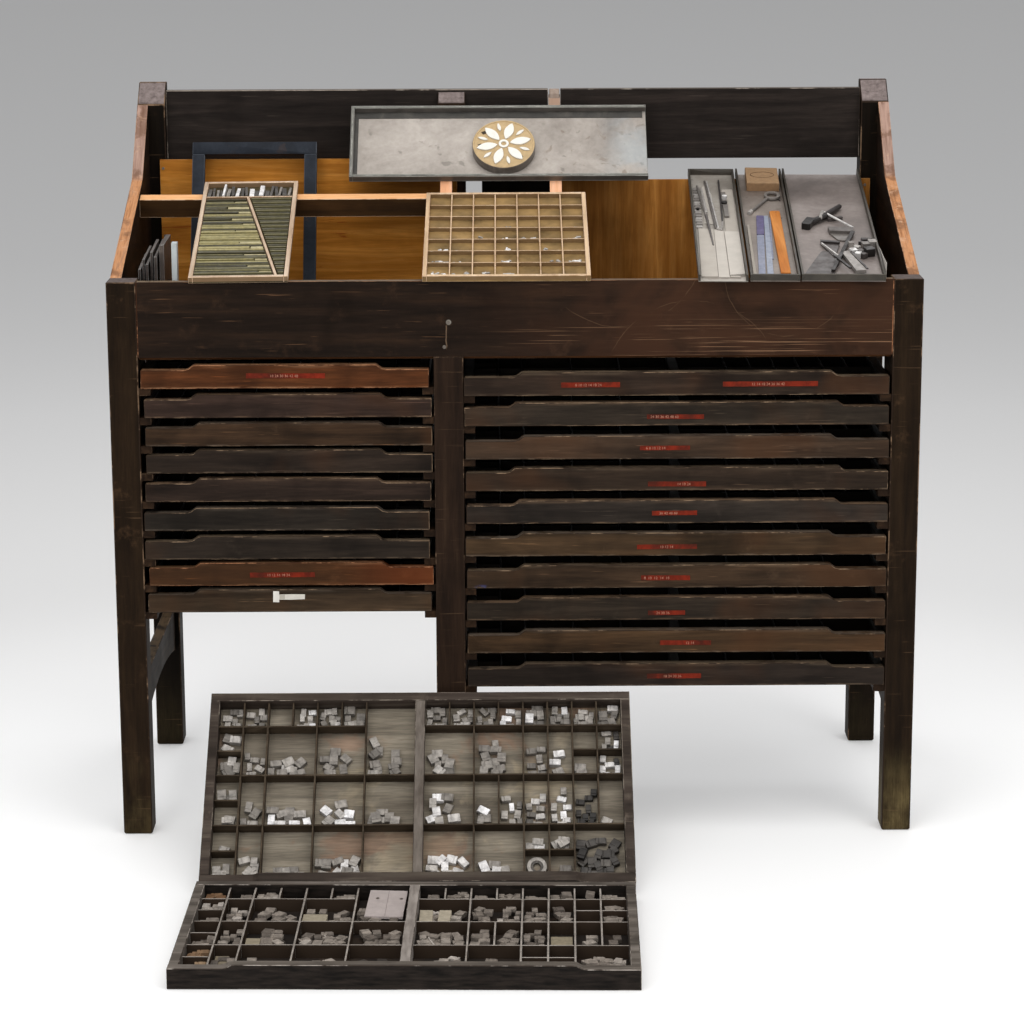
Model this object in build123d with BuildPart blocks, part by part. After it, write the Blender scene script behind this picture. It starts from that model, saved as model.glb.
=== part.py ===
from build123d import *
import os
from math import sin, cos, tan, radians, hypot, atan2, degrees

os.makedirs("parts", exist_ok=True)

# ---------------------------------------------------------------- driving dimensions (mm)
W = 1564.0            # overall width over the legs
LEG = 57.0            # square section of the legs and centre posts
DEPTH = 621.0         # front face of the front legs to rear face of the back legs
H_FRONT = 1110.0      # top of the front legs and of the front apron
H_APRON = 963.0       # underside of the front apron
BOARD = 22.0          # thickness of the frame boards
BREAK_Y, BREAK_Z = 438.0, 1254.0      # where the side boards change slope
H_SIDE_BACK = 1394.0  # top of the side boards at the back legs
H_BACK_BOARD = 1421.0
Z_BACK_BOARD = 1275.0
PLY = 8.0             # plywood back panels
H_PLY_LEFT = 1280.0
H_PLY_RIGHT = 1234.0
Z_BIN = 955.0         # underside of the bin floor
T_BIN = 12.0

POST_X0, POST_X1 = -157.0, -100.0     # centre posts between the two stacks

CASE_D = 422.0        # front to back size of every type case
CASE_W_FULL = 819.0   # full-size case
CASE_W_SMALL = 554.0  # two-thirds case
CASE_H = 36.0         # rim height of a case
CASE_H_RAISED = 46.0  # raised middle of the front rail
RIM = 18.0            # side and back rims
RAIL_T = 20.0         # front rail thickness
BOTTOM_T = 5.0
DIV_T = 3.2           # thin cell dividers
DIV_TOP = 30.0        # divider top above the case's underside
GAP = 0.2             # glue line between separately made pieces

RUN_W, RUN_H = 22.0, 14.0             # runner section
CLEAR = 0.4           # case underside above its runner

# underside heights of the sliding cases, top one first, and small sideways and fore-aft offsets
LEFT_Z = [903.0, 845.0, 789.0, 735.0, 679.0, 620.5, 563.5, 511.0, 457.0]
LEFT_DX = [-2.5, 2.5, 3.0, 3.0, 0.0, -4.0, -4.0, 3.0, -1.0]
LEFT_DY = [-3.0, -1.0, 0.0, 1.5, -1.0, 0.5, -1.5, -3.0, -2.0]
RIGHT_Z = [885.5, 826.0, 760.5, 697.0, 632.0, 567.5, 502.5, 437.0, 371.0, 302.0]
RIGHT_DX = [-2.0, -1.5, 0.0, 0.0, 1.0, -1.5, 1.0, 0.5, 1.5, 1.5]
RIGHT_DY = [-2.0, -1.0, -3.0, 0.0, -1.0, -3.5, -2.0, -0.5, -2.5, 0.0]
LAND_L = [86, 84, 88, 86, 90, 85, 88, 84, 86]          # end lands of the small fronts
LAND_R = [96, 84, 97, 80, 88, 96, 95, 96, 97, 98]      # end lands of the full-size fronts

# two cases outside the frame: one flat on the floor, one leaning on the front centre post
FLAT_X, FLAT_Y, FLAT_YAW = -609.0, -775.0, -1.146      # its front left corner and turn
FLAT_H_END, FLAT_H_RAISED = 38.0, 45.0
LEAN_X, LEAN_TILT = -598.0, 40.0
LEAN_Y = -0.5 - CASE_D * cos(radians(LEAN_TILT))

# front face of the cabinet in the part's own frame, so that the origin is at the
# middle of the whole footprint
y_flat_low = FLAT_Y + CASE_W_FULL * sin(radians(FLAT_YAW))
Y0 = -(DEPTH + y_flat_low) / 2.0

XL, XR = -W / 2, W / 2


def flat(z):
    """Horizontal sketch plane at height z, centred on the cabinet's front face."""
    return Plane(origin=(0, Y0, z), x_dir=(1, 0, 0), z_dir=(0, 0, 1))


def upright(x):
    """Side-on sketch plane at x: sketch x runs to the back, sketch y runs up."""
    return Plane(origin=(x, Y0, 0), x_dir=(0, 1, 0), z_dir=(1, 0, 0))


def facing(x, y, z):
    """Front-on sketch plane whose depth runs to the back when extruded negatively."""
    return Plane(origin=(x, Y0 + y, z), x_dir=(1, 0, 0), z_dir=(0, -1, 0))


def tilted(x, y, z, tilt, yaw=0.0):
    """Sketch plane that rises to the back by tilt degrees, turned by yaw within the slope."""
    a, w = radians(tilt), radians(yaw)
    xd = (cos(w), sin(w) * cos(a), sin(w) * sin(a))
    nd = (0, -sin(a), cos(a))
    return Plane(origin=(x, Y0 + y, z), x_dir=xd, z_dir=nd)


def up_from(pl, h):
    return pl.offset(h)


def slab(pl, x0, x1, y0, y1, h):
    """Rectangular board on plane pl, h thick."""
    with BuildSketch(pl) as outline:
        with Locations(((x0 + x1) / 2, (y0 + y1) / 2)):
            Rectangle(x1 - x0, y1 - y0)
    extrude(outline.sketch, amount=h)


def board(x0, x1, y0, y1, z0, z1):
    slab(flat(z0), x0, x1, y0, y1, z1 - z0)


def save(bp, label):
    bp.part.label = label
    export_step(bp.part, "parts/" + label + ".step")


# ---------------------------------------------------------------- legs and posts
for tag, xa in (("left", XL), ("right", XR - LEG)):
    with BuildPart() as leg_front:
        board(xa, xa + LEG, 0, LEG, 0, H_FRONT)
        fillet(leg_front.edges().group_by(Axis.Z)[0], radius=5)
    save(leg_front, "leg_front_" + tag)

    # the back leg's top carries on the slope of the side board, then levels off
    with BuildPart() as leg_back:
        with BuildSketch(upright(xa)):
            with BuildLine():
                Polyline((DEPTH - LEG, 0), (DEPTH, 0), (DEPTH, H_SIDE_BACK + 43),
                         (DEPTH - LEG + 43, H_SIDE_BACK + 43), (DEPTH - LEG, H_SIDE_BACK), close=True)
            make_face()
        extrude(amount=LEG)
        fillet(leg_back.edges().group_by(Axis.Z)[0], radius=5)
    save(leg_back, "leg_back_" + tag)

with BuildPart() as post_front:
    with BuildSketch(upright(POST_X0)):
        with BuildLine():
            Polyline((0, 0), (LEG, 0), (LEG, 1096), (BOARD, 1096), (BOARD, H_APRON), (0, H_APRON), close=True)
        make_face()
    extrude(amount=LEG)
    fillet(post_front.edges().group_by(Axis.Z)[0], radius=5)
save(post_front, "post_front_centre")

# the back centre post is thinned at its head, where the back board passes behind it
with BuildPart() as post_back:
    yb = DEPTH - LEG
    with BuildSketch(upright(POST_X0)):
        with BuildLine():
            Polyline((yb, 0), (DEPTH, 0), (DEPTH, Z_BACK_BOARD - 0.5), (yb + BOARD, Z_BACK_BOARD - 0.5),
                     (yb + BOARD, H_SIDE_BACK + BOARD), (yb, H_SIDE_BACK), close=True)
        make_face()
    extrude(amount=LEG)
    fillet(post_back.edges().group_by(Axis.Z)[0], radius=5)
save(post_back, "post_back_centre")

# ---------------------------------------------------------------- apron, side boards, back
with BuildPart() as front_apron:
    board(XL + LEG, XR - LEG, 0, BOARD, H_APRON, H_FRONT)
save(front_apron, "front_apron")

for tag, xa in (("left", XL), ("right", XR - BOARD)):
    with BuildPart() as side_board:
        with BuildSketch(upright(xa)):
            with BuildLine():
                Polyline((LEG, Z_BIN), (DEPTH - LEG, Z_BIN), (DEPTH - LEG, H_SIDE_BACK),
                         (BREAK_Y, BREAK_Z), (LEG, 1106), close=True)
            make_face()
        extrude(amount=BOARD)
    save(side_board, "side_board_" + tag)

BACK_Y0 = DEPTH - LEG + BOARD     # front face of the upper back board
STRUT_W = 24.0
STRUT_L_X, STRUT_R_X = -150.0, 74.0
STRUT_LOW = (400.0, 1227.0)       # lower end of the struts' top line, at the case rail
STRUT_TOP = (608.0, 1421.0)
STRUT_TILT = degrees(atan2(STRUT_TOP[1] - STRUT_LOW[1], STRUT_TOP[0] - STRUT_LOW[0]))
STRUT_DROP = 20.0 / cos(radians(STRUT_TILT))

with BuildPart() as back_board_upper:
    board(XL + LEG, XR - LEG, BACK_Y0, BACK_Y0 + BOARD, Z_BACK_BOARD, H_BACK_BOARD)
    # notch in the top edge for the head of the right bearer
    nz = STRUT_LOW[1] + (BACK_Y0 - STRUT_LOW[0]) * tan(radians(STRUT_TILT)) - STRUT_DROP
    with BuildSketch(flat(nz)):
        with Locations((STRUT_R_X + STRUT_W / 2, BACK_Y0 + BOARD / 2)):
            Rectangle(STRUT_W + 2, BOARD + 2)
    extrude(amount=H_BACK_BOARD - nz + 1, mode=Mode.SUBTRACT)
save(back_board_upper, "back_board_upper")

PY1 = DEPTH - LEG
PY0 = PY1 - PLY
with BuildPart() as back_panel_left:
    board(-738, -118, PY0, PY1, Z_BIN + T_BIN, H_PLY_LEFT)
save(back_panel_left, "back_panel_left")

with BuildPart() as back_panel_right:
    board(80, 746, PY0, PY1, Z_BIN + T_BIN, H_PLY_RIGHT)
save(back_panel_right, "back_panel_right")

with BuildPart() as back_plank:
    board(-66, 118, PY1, PY1 + 16, Z_BIN - 30, 1262)
save(back_plank, "back_plank_centre")

# ---------------------------------------------------------------- bin floor with notched corners
with BuildPart() as bin_floor:
    with BuildSketch(flat(Z_BIN)):
        with Locations((0, (BOARD + PY1) / 2)):
            Rectangle(W - 2 * BOARD, PY1 - BOARD)
        for cx, w in ((XL + LEG / 2, LEG), (XR - LEG / 2, LEG), ((POST_X0 + POST_X1) / 2, LEG)):
            with Locations((cx, LEG / 2)):
                Rectangle(w + 0.2, LEG + 0.2, mode=Mode.SUBTRACT)
    extrude(amount=T_BIN)
save(bin_floor, "bin_floor")

# ---------------------------------------------------------------- case rail and galley bearers
with BuildPart() as case_rail:
    with BuildSketch(upright(XL + BOARD)):
        with BuildLine():
            Polyline((378, 1183), (400, 1183), (400, 1227), (378, 1219), close=True)
        make_face()
    extrude(amount=STRUT_R_X + STRUT_W - (XL + BOARD))
save(case_rail, "case_rail")

sl = tan(radians(STRUT_TILT))
for tag, xa, yend in (("left", STRUT_L_X, PY1), ("right", STRUT_R_X, 606.0)):
    with BuildPart() as bearer:
        with BuildSketch(upright(xa)):
            with BuildLine():
                zt = STRUT_LOW[1] + (yend - STRUT_LOW[0]) * sl
                Polyline(STRUT_LOW, (yend, zt), (yend, zt - STRUT_DROP),
                         (STRUT_LOW[0], STRUT_LOW[1] - STRUT_DROP), close=True)
            make_face()
        extrude(amount=STRUT_W)
        if tag == "right":
            # its showing head is rounded over
            fillet(bearer.edges().filter_by(Axis.X).sort_by(Axis.Z)[-1], radius=8)
    save(bearer, "bearer_" + tag)

# ---------------------------------------------------------------- side stretchers, arched below
for tag, xa in (("left", XL + 24), ("right", XR - 24 - BOARD)):
    with BuildPart() as stretcher:
        with BuildSketch(upright(xa)):
            with BuildLine():
                Line((LEG, 215), (LEG, 307))
                Line((LEG, 307), (PY1, 307))
                Line((PY1, 307), (PY1, 215))
                ThreePointArc((PY1, 215), ((LEG + PY1) / 2, 243), (LEG, 215))
            make_face()
        extrude(amount=BOARD)
    save(stretcher, "side_stretcher_" + tag)

# ---------------------------------------------------------------- runners
with BuildPart() as runners_left:
    for z in LEFT_Z:
        board(XL + LEG, XL + LEG + RUN_W, 3, DEPTH - 3, z - CLEAR - RUN_H, z - CLEAR)
        board(POST_X0 - RUN_W, POST_X0, 3, DEPTH - 3, z - CLEAR - RUN_H, z - CLEAR)
    # upright batten behind the leg
    board(XL + 33, XL + LEG - GAP, LEG + GAP, LEG + 62, LEFT_Z[-1] - 17, Z_BIN - GAP)
save(runners_left, "runners_left_bay")

with BuildPart() as runners_right:
    for z in RIGHT_Z:
        board(POST_X1, POST_X1 + RUN_W, 3, DEPTH - 3, z - CLEAR - RUN_H, z - CLEAR)
        board(XR - LEG - RUN_W, XR - LEG, 3, DEPTH - 3, z - CLEAR - RUN_H, z - CLEAR)
    board(XR - LEG + GAP, XR - 33, LEG + GAP, LEG + 62, 348, Z_BIN - GAP)
save(runners_right, "runners_right_bay")

# ---------------------------------------------------------------- nails (round heads, driven shanks)
with BuildPart() as nails:
    front_spots = [(-128, 1030), (-136, 982)]
    for x, z in front_spots:
        with BuildSketch(facing(x, 0, z)):
            Circle(3.5)
        extrude(amount=1.2)
        with BuildSketch(facing(x, 0, z)):
            Circle(1.4)
        extrude(amount=-38)
    panel_spots = [(-731, 1262), (-731, 1120), (-131, 1262), (-131, 1130), (735, 1221), (735, 1110)]
    for x, z in panel_spots:
        with BuildSketch(facing(x, PY0, z)):
            Circle(3.0)
        extrude(amount=1.0)
        with BuildSketch(facing(x, PY0, z)):
            Circle(1.2)
        extrude(amount=-24)
    rear_spots = [(90, 1000), (106, 1000), (90, 1150), (106, 1150)]
    for x, z in rear_spots:
        with BuildSketch(facing(x, PY0, z)):
            Circle(3.0)
        extrude(amount=1.0)
        with BuildSketch(facing(x, PY0, z)):
            Circle(1.2)
        extrude(amount=-18)
save(nails, "nails")


# ---------------------------------------------------------------- type cases
def case_front(pl, width, land, h_end, h_raised):
    """Front rail: low lands at both ends, a sloped shoulder up to a raised middle."""
    with BuildSketch(Plane(origin=pl.origin, x_dir=pl.x_dir, z_dir=-pl.y_dir)) as profile:
        with BuildLine():
            rise, run = h_raised - h_end, 19.0
            Polyline((0, 0), (width, 0), (width, h_end), (width - land, h_end),
                     (width - land - run * 0.25, h_end + rise * 0.12),
                     (width - land - run * 0.8, h_raised - rise * 0.06), (width - land - run, h_raised),
                     (land + run, h_raised), (land + run * 0.8, h_raised - rise * 0.06),
                     (land + run * 0.25, h_end + rise * 0.12), (land, h_end), (0, h_end), close=True)
        make_face()
    extrude(profile.sketch, amount=-RAIL_T)


def case_rims(pl, width, bar_at):
    """Two side rims, the back rim and, on a full-size case, the thick middle bar."""
    y1 = CASE_D
    slab(pl, 0, RIM, RAIL_T + GAP, y1 - RIM - GAP, CASE_H)
    slab(pl, width - RIM, width, RAIL_T + GAP, y1 - RIM - GAP, CASE_H)
    slab(pl, 0, width, y1 - RIM, y1, CASE_H)
    if bar_at is not None:
        slab(up_from(pl, BOTTOM_T + GAP), bar_at - 9.5, bar_at + 9.5, RAIL_T + GAP, y1 - RIM - GAP,
             CASE_H - BOTTOM_T - GAP)


def case_bottom(pl, width):
    slab(pl, RIM + GAP, width - RIM - GAP, RAIL_T + GAP, CASE_D - RIM - GAP, BOTTOM_T)


# cell rows from the front: three deep rows and one shallow row at the back
_in0, _in1 = RAIL_T + GAP, CASE_D - RIM - GAP
_unit = (_in1 - _in0 - 3 * DIV_T) / 7.0
ROW = []
_y = _in0
for _k in (2, 2, 2, 1):
    ROW.append((_y, _y + _k * _unit))
    _y += _k * _unit + DIV_T


def half_dividers(pl, xa, xb, layout):
    """Dividers of one half case between xa and xb, eight units wide.

    layout: full-depth dividers, short dividers {row: [units]}, row dividers
    {lower row: [(unit, unit)]} and split cells {row: [(unit, unit)]}.
    """
    n = layout["units"]
    u = (xb - xa) / n
    t = DIV_T / 2
    up = up_from(pl, BOTTOM_T + GAP)
    h = DIV_TOP - BOTTOM_T - GAP
    X = lambda k: xa + k * u

    def edge(k, side):
        if k == 0:
            return xa + GAP
        if k == n:
            return xb - GAP
        return X(k) + side * (t + GAP)

    with BuildSketch(up) as grid:
        for k in layout["full"]:
            with Locations((X(k), (_in0 + _in1) / 2)):
                Rectangle(DIV_T, _in1 - _in0)
        for row, ks in layout["short"].items():
            r0, r1 = ROW[row]
            for k in ks:
                with Locations((X(k), (r0 + r1) / 2)):
                    Rectangle(DIV_T, r1 - r0 - 2 * GAP)
        for row, spans in layout["rows"].items():
            yc = ROW[row][1] + DIV_T / 2
            for a, b in spans:
                xa_, xb_ = edge(a, 1), edge(b, -1)
                with Locations(((xa_ + xb_) / 2, yc)):
                    Rectangle(xb_ - xa_, DIV_T)
        for row, spans in layout["split"].items():
            yc = (ROW[row][0] + ROW[row][1]) / 2
            for a, b in spans:
                xa_, xb_ = edge(a, 1), edge(b, -1)
                with Locations(((xa_ + xb_) / 2, yc)):
                    Rectangle(xb_ - xa_, DIV_T)
    extrude(grid.sketch, amount=h)


LEFT_HALF = {"units": 8, "full": [1, 2, 4, 6], "short": {3: [3, 5]},
             "rows": {0: [(0, 1), (1, 2), (2, 4), (4, 6), (6, 8)],
                      1: [(0, 1), (1, 2), (2, 4), (4, 6), (6, 8)],
                      2: [(0, 1), (1, 2), (2, 4), (4, 6)]},
             "split": {0: [(0, 1)], 1: [(0, 1)], 2: [(0, 1)]}}
RIGHT_HALF = {"units": 8, "full": [2, 4, 5, 6], "short": {3: [1, 3, 7], 2: [7], 1: [3, 7]},
              "rows": {0: [(0, 2), (2, 4), (4, 5), (5, 6), (6, 8)],
                       1: [(0, 2), (2, 4), (4, 5), (5, 6), (6, 8)],
                       2: [(0, 2), (2, 4), (4, 5), (5, 6), (6, 8)]},
              "split": {2: [(6, 7), (7, 8)], 0: [(4, 5), (5, 6)]}}
SMALL = {"units": 11, "full": [1, 2, 4, 6, 8, 10], "short": {3: [3, 5, 7, 9], 1: [5]},
         "rows": {0: [(0, 1), (1, 2), (2, 4), (4, 6), (6, 8), (8, 10), (10, 11)],
                  1: [(0, 1), (1, 2), (2, 4), (4, 6), (6, 8), (8, 10), (10, 11)],
                  2: [(0, 1), (1, 2), (2, 4), (4, 6), (6, 8), (8, 10), (10, 11)]},
         "split": {0: [(10, 11)], 1: [(0, 1)], 2: [(10, 11)]}}

MID = CASE_W_FULL / 2


def sliding_case(label, x, y, z, width, land):
    pl = Plane(origin=(x, Y0 + y, z), x_dir=(1, 0, 0), z_dir=(0, 0, 1))
    with BuildPart() as case:
        case_front(pl, width, land, CASE_H + 0.5, CASE_H_RAISED)
        case_bottom(pl, width)
        if width > 700:
            case_rims(pl, width, MID)
            half_dividers(pl, RIM, MID - 9.5, LEFT_HALF)
            half_dividers(pl, MID + 9.5, width - RIM, RIGHT_HALF)
        else:
            case_rims(pl, width, None)
            half_dividers(pl, RIM, width - RIM, SMALL)
    save(case, label)


left_mid = (XL + LEG + POST_X0) / 2
for i, z in enumerate(LEFT_Z):
    sliding_case("case_left_%d" % (i + 1), left_mid - CASE_W_SMALL / 2 + LEFT_DX[i], LEFT_DY[i], z,
                 CASE_W_SMALL, LAND_L[i])

right_mid = (POST_X1 + XR - LEG) / 2
for i, z in enumerate(RIGHT_Z):
    sliding_case("case_right_%d" % (i + 1), right_mid - CASE_W_FULL / 2 + RIGHT_DX[i], RIGHT_DY[i], z,
                 CASE_W_FULL, LAND_R[i])

# ---------------------------------------------------------------- the two cases outside the frame
for name, pl in (("flat_case", tilted(FLAT_X, FLAT_Y, 0, 0, FLAT_YAW)),
                 ("leaning_case", tilted(LEAN_X, LEAN_Y, 0, LEAN_TILT))):
    with BuildPart() as frame_part:
        case_front(pl, CASE_W_FULL, 97, FLAT_H_END if name == "flat_case" else CASE_H,
                   FLAT_H_RAISED if name == "flat_case" else 43.0)
        case_rims(pl, CASE_W_FULL, MID)
    save(frame_part, name + "_frame")
    with BuildPart() as bottom_part:
        case_bottom(pl, CASE_W_FULL)
    save(bottom_part, name + "_bottom")
    with BuildPart() as divider_part:
        half_dividers(pl, RIM, MID - 9.5, LEFT_HALF)
        half_dividers(pl, MID + 9.5, CASE_W_FULL - RIM, RIGHT_HALF)
    save(divider_part, name + "_dividers")


# ---------------------------------------------------------------- trays that lie on the top
def tray(pl, x0, x1, y0, y1, rim, h, bed, open_side):
    """Galley: thin bed with rims on three sides, open on the fourth."""
    slab(pl, x0, x1, y0, y1, bed)
    a0 = y0 if open_side != "near" else y0
    up = up_from(pl, bed + 0.05)
    hh = h - bed - 0.05
    if open_side != "left":
        slab(up, x0, x0 + rim, y0, y1, hh)
    if open_side != "right":
        slab(up, x1 - rim, x1, y0, y1, hh)
    xi0 = x0 + rim + 0.1 if open_side != "left" else x0
    xi1 = x1 - rim - 0.1 if open_side != "right" else x1
    if open_side != "near":
        slab(up, xi0, xi1, y0, y0 + rim, hh)
    if open_side != "far":
        slab(up, xi0, xi1, y1 - rim, y1, hh)


# long galley on the two bearers, open at its right end
GAL = tilted(-336, STRUT_LOW[0], STRUT_LOW[1], STRUT_TILT).offset(0.4)
with BuildPart() as galley_long:
    tray(GAL, 0, 611, 31, 223, 7, 16, 1.8, "right")
save(galley_long, "galley_long")

# round mounted block on its bed, type high
with BuildPart() as round_block:
    with BuildSketch(GAL.offset(1.9)):
        with Locations((316, 112)):
            Circle(65)
    extrude(amount=23.3)
    chamfer(round_block.edges().filter_by(GeomType.CIRCLE), length=0.8)
save(round_block, "round_block")

# cast chase leaning in the bin
CH = tilted(-666, 396, Z_BIN + T_BIN + 0.3, 66)
with BuildPart() as chase:
    slab(CH, 0, 26, 26.1, 351.9, 15)
    slab(CH, 232, 258, 26.1, 351.9, 15)
    slab(CH, 0, 258, 0, 26, 15)
    slab(CH, 0, 258, 352, 378, 15)
save(chase, "chase")

# case for leads and slugs
LEAD = tilted(-623, 2, H_FRONT + 1.4, 16.41, 1.0)
LEAD_Y0, LEAD_Y1, LEAD_DIV = -10.0, 445.0, 370.0
with BuildPart() as lead_case:
    slab(LEAD, 8.1, 181.9, LEAD_Y0 + 8.1, LEAD_Y1 - 8.1, 3)
    slab(LEAD, 0, 8, LEAD_Y0, LEAD_Y1, 13)
    slab(LEAD, 182, 190, LEAD_Y0, LEAD_Y1, 13)
    slab(LEAD, 8.1, 181.9, LEAD_Y0, LEAD_Y0 + 8, 13)
    slab(LEAD, 8.1, 181.9, LEAD_Y1 - 8, LEAD_Y1, 13)
    slab(LEAD.offset(3.1), 8.2, 181.8, LEAD_DIV - 3, LEAD_DIV + 1, 9.4)
    # slanting divider
    with BuildSketch(LEAD.offset(3.1)):
        with BuildLine():
            Polyline((164, -1.5), (169, -1.5), (95, LEAD_DIV - 3.5), (90, LEAD_DIV - 3.5), close=True)
        make_face()
    extrude(amount=9.4)
save(lead_case, "lead_case")

# strips of leading, graded in length by the slanting divider
with BuildPart() as lead_strips:
    y = 0.6
    k = 0
    while y < LEAD_DIV - 11:
        thick = (3.6, 5.4, 7.5, 4.4, 9.0, 5.0)[k % 6]
        xd = 164 - 74 * (y + thick + 1.5) / (LEAD_DIV - 2) - 2.0
        slab(LEAD.offset(3.1), 9.2, xd, y, y + thick, (7.4, 8.2, 6.6)[k % 3])
        y += thick + (0.9 if k % 4 else 5.5)
        k += 1
    y = 3.0
    k = 0
    while y < LEAD_DIV - 9:
        thick = (4.2, 6.0, 5.0)[k % 3]
        xd = 169 - 74 * (y + 1.5) / (LEAD_DIV - 2) + 2.5
        if 180.4 - xd > 8:
            slab(LEAD.offset(3.1), xd, 180.4, y, y + thick, (7.0, 8.0)[k % 2])
        y += thick + 4.6
        k += 1
save(lead_strips, "lead_strips")

# case for spacing material, seven cells by seven
SPC = tilted(-177, 2, H_FRONT + 0.8, 16.15)
SW, SY0, SY1 = 322.0, -6.0, 393.0
with BuildPart() as spacing_case:
    slab(SPC, 8.1, SW - 8.1, SY0 + 8.1, SY1 - 8.1, 3)
    slab(SPC, 0, 8, SY0, SY1, 12)
    slab(SPC, SW - 8, SW, SY0, SY1, 12)
    slab(SPC, 8.1, SW - 8.1, SY0, SY0 + 8, 12)
    slab(SPC, 8.1, SW - 8.1, SY1 - 8, SY1, 12)
    cw = (SW - 16.0) / 7
    ch = (SY1 - SY0 - 16.0) / 7
    for i in range(1, 7):
        slab(SPC.offset(3.1), 8 + i * cw - 1.2, 8 + i * cw + 1.2, SY0 + 8.1, SY1 - 8.1, 8)
    with BuildSketch(SPC.offset(3.1)):
        for j in range(1, 7):
            for i in range(7):
                xa = 8 + i * cw + (1.3 if i else 0.1)
                xb = 8 + (i + 1) * cw - (1.3 if i < 6 else 0.1)
                with Locations(((xa + xb) / 2, SY0 + 8 + j * ch)):
                    Rectangle(xb - xa, 2.4)
    extrude(amount=8)
save(spacing_case, "spacing_case")

# three galleys from the apron to the right back panel
G_TILT = degrees(atan2(H_PLY_RIGHT - H_FRONT, PY0))
for label, gx, gw, side in (("galley_narrow_1", 350, 95, "near"), ("galley_narrow_2", 449, 95, "far"),
                            ("galley_wide", 547, 160, "far")):
    gp = tilted(gx, 0, H_FRONT + 0.5, G_TILT, -1.5)
    with BuildPart() as galley:
        tray(gp, 0, gw, -12, 593, 4, 15, 1.6, side)
    save(galley, label)

# plates standing on edge in the left end of the bin
with BuildPart() as bin_plates:
    for x, t, ya, yb, h0, h1 in ((-727, 5, 66, 180, 158, 172), (-719, 4, 70, 190, 176, 186),
                                 (-712, 5, 62, 200, 168, 180), (-704, 5, 74, 180, 190, 200),
                                 (-696, 6, 66, 210, 182, 196), (-686, 9, 72, 190, 204, 208),
                                 (-663, 11, 72, 92, 207, 208)):
        with BuildSketch(upright(x)):
            with BuildLine():
                zb = Z_BIN + T_BIN + 0.2
                Polyline((ya, zb), (yb, zb), (yb, zb + h1), (ya, zb + h0), close=True)
            make_face()
        extrude(amount=t)
save(bin_plates, "bin_plates")
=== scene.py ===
import math
import random

import bpy
from mathutils import Matrix, Vector


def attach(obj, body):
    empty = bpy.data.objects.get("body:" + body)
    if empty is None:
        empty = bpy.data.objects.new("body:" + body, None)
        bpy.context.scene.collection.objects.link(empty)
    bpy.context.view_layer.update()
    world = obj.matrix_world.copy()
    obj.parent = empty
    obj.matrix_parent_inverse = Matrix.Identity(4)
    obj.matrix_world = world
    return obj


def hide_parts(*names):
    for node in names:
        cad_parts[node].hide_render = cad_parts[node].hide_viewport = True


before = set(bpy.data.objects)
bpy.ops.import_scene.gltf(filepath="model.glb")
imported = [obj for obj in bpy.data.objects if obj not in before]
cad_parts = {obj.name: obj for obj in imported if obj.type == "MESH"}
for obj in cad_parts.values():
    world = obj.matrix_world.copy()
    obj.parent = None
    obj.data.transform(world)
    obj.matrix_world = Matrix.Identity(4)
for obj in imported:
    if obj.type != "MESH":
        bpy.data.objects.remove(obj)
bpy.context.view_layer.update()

scene = bpy.context.scene
MM = 0.001
Y0 = 85.19005717706432          # front face of the cabinet, in the row frame, mm


def lin(r, g, b):
    """sRGB 0..255 to a linear colour."""
    out = []
    for v in (r, g, b):
        v = v / 255.0
        out.append(v / 12.92 if v <= 0.04045 else ((v + 0.055) / 1.055) ** 2.4)
    return (out[0], out[1], out[2], 1.0)


# ------------------------------------------------------------------ local frames, mm
class Fr:
    def __init__(self, o, x, y, n):
        self.o, self.x, self.y, self.n = Vector(o), Vector(x), Vector(y), Vector(n)

    @staticmethod
    def at(x, y, z, tilt=0.0, yaw=0.0, up=0.0):
        a, w = math.radians(tilt), math.radians(yaw)
        xd = Vector((math.cos(w), math.sin(w) * math.cos(a), math.sin(w) * math.sin(a)))
        nd = Vector((0, -math.sin(a), math.cos(a)))
        return Fr(Vector((x, y + Y0, z)) + nd * up, xd, nd.cross(xd), nd)

    def p(self, x, y, h=0.0):
        return (self.o + self.x * x + self.y * y + self.n * h) * MM

    def sub(self, x, y, h, rz=0.0, rx=0.0, ry=0.0):
        """A turned frame at a local point: about its normal, then its own x, then its own y (degrees)."""
        o = self.o + self.x * x + self.y * y + self.n * h
        r = (Matrix.Rotation(math.radians(rz), 3, self.n)).to_3x3()
        X, Y, N = r @ self.x, r @ self.y, self.n.copy()
        r = Matrix.Rotation(math.radians(rx), 3, X)
        Y, N = r @ Y, r @ N
        r = Matrix.Rotation(math.radians(ry), 3, Y)
        X, N = r @ X, r @ N
        return Fr(o, X, Y, N)

    def side(self):
        """Same origin: x stays, sketch y is the old normal, so a profile is swept along -y."""
        return Fr(self.o, self.x, self.n, -self.y)

    def end(self):
        """Sketch x is the old y, sketch y the old normal, swept along x."""
        return Fr(self.o, self.y, self.n, self.x)


WORLD = Fr((0, Y0, 0), (1, 0, 0), (0, 1, 0), (0, 0, 1))
FRONT = Fr((0, Y0, 0), (1, 0, 0), (0, 0, 1), (0, -1, 0))      # x right, y up, h towards the viewer
STRUT_T = 43.00543069875816
GAL_T = 12.572445004227534
GAL = Fr.at(-336, 400, 1227, STRUT_T, 0, 0.4)
LEAD = Fr.at(-623, 2, 1111.4, 16.41, 1.0)
SPC = Fr.at(-177, 2, 1110.8, 16.15)
G1 = Fr.at(350, 0, 1110.5, GAL_T, -1.5)
G2 = Fr.at(449, 0, 1110.5, GAL_T, -1.5)
G3 = Fr.at(547, 0, 1110.5, GAL_T, -1.5)
LEAN = Fr.at(-598, -0.5 - 422 * math.cos(math.radians(40)), 0, 40)
FLAT = Fr.at(-609, -775, 0, 0, -1.146)


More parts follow.
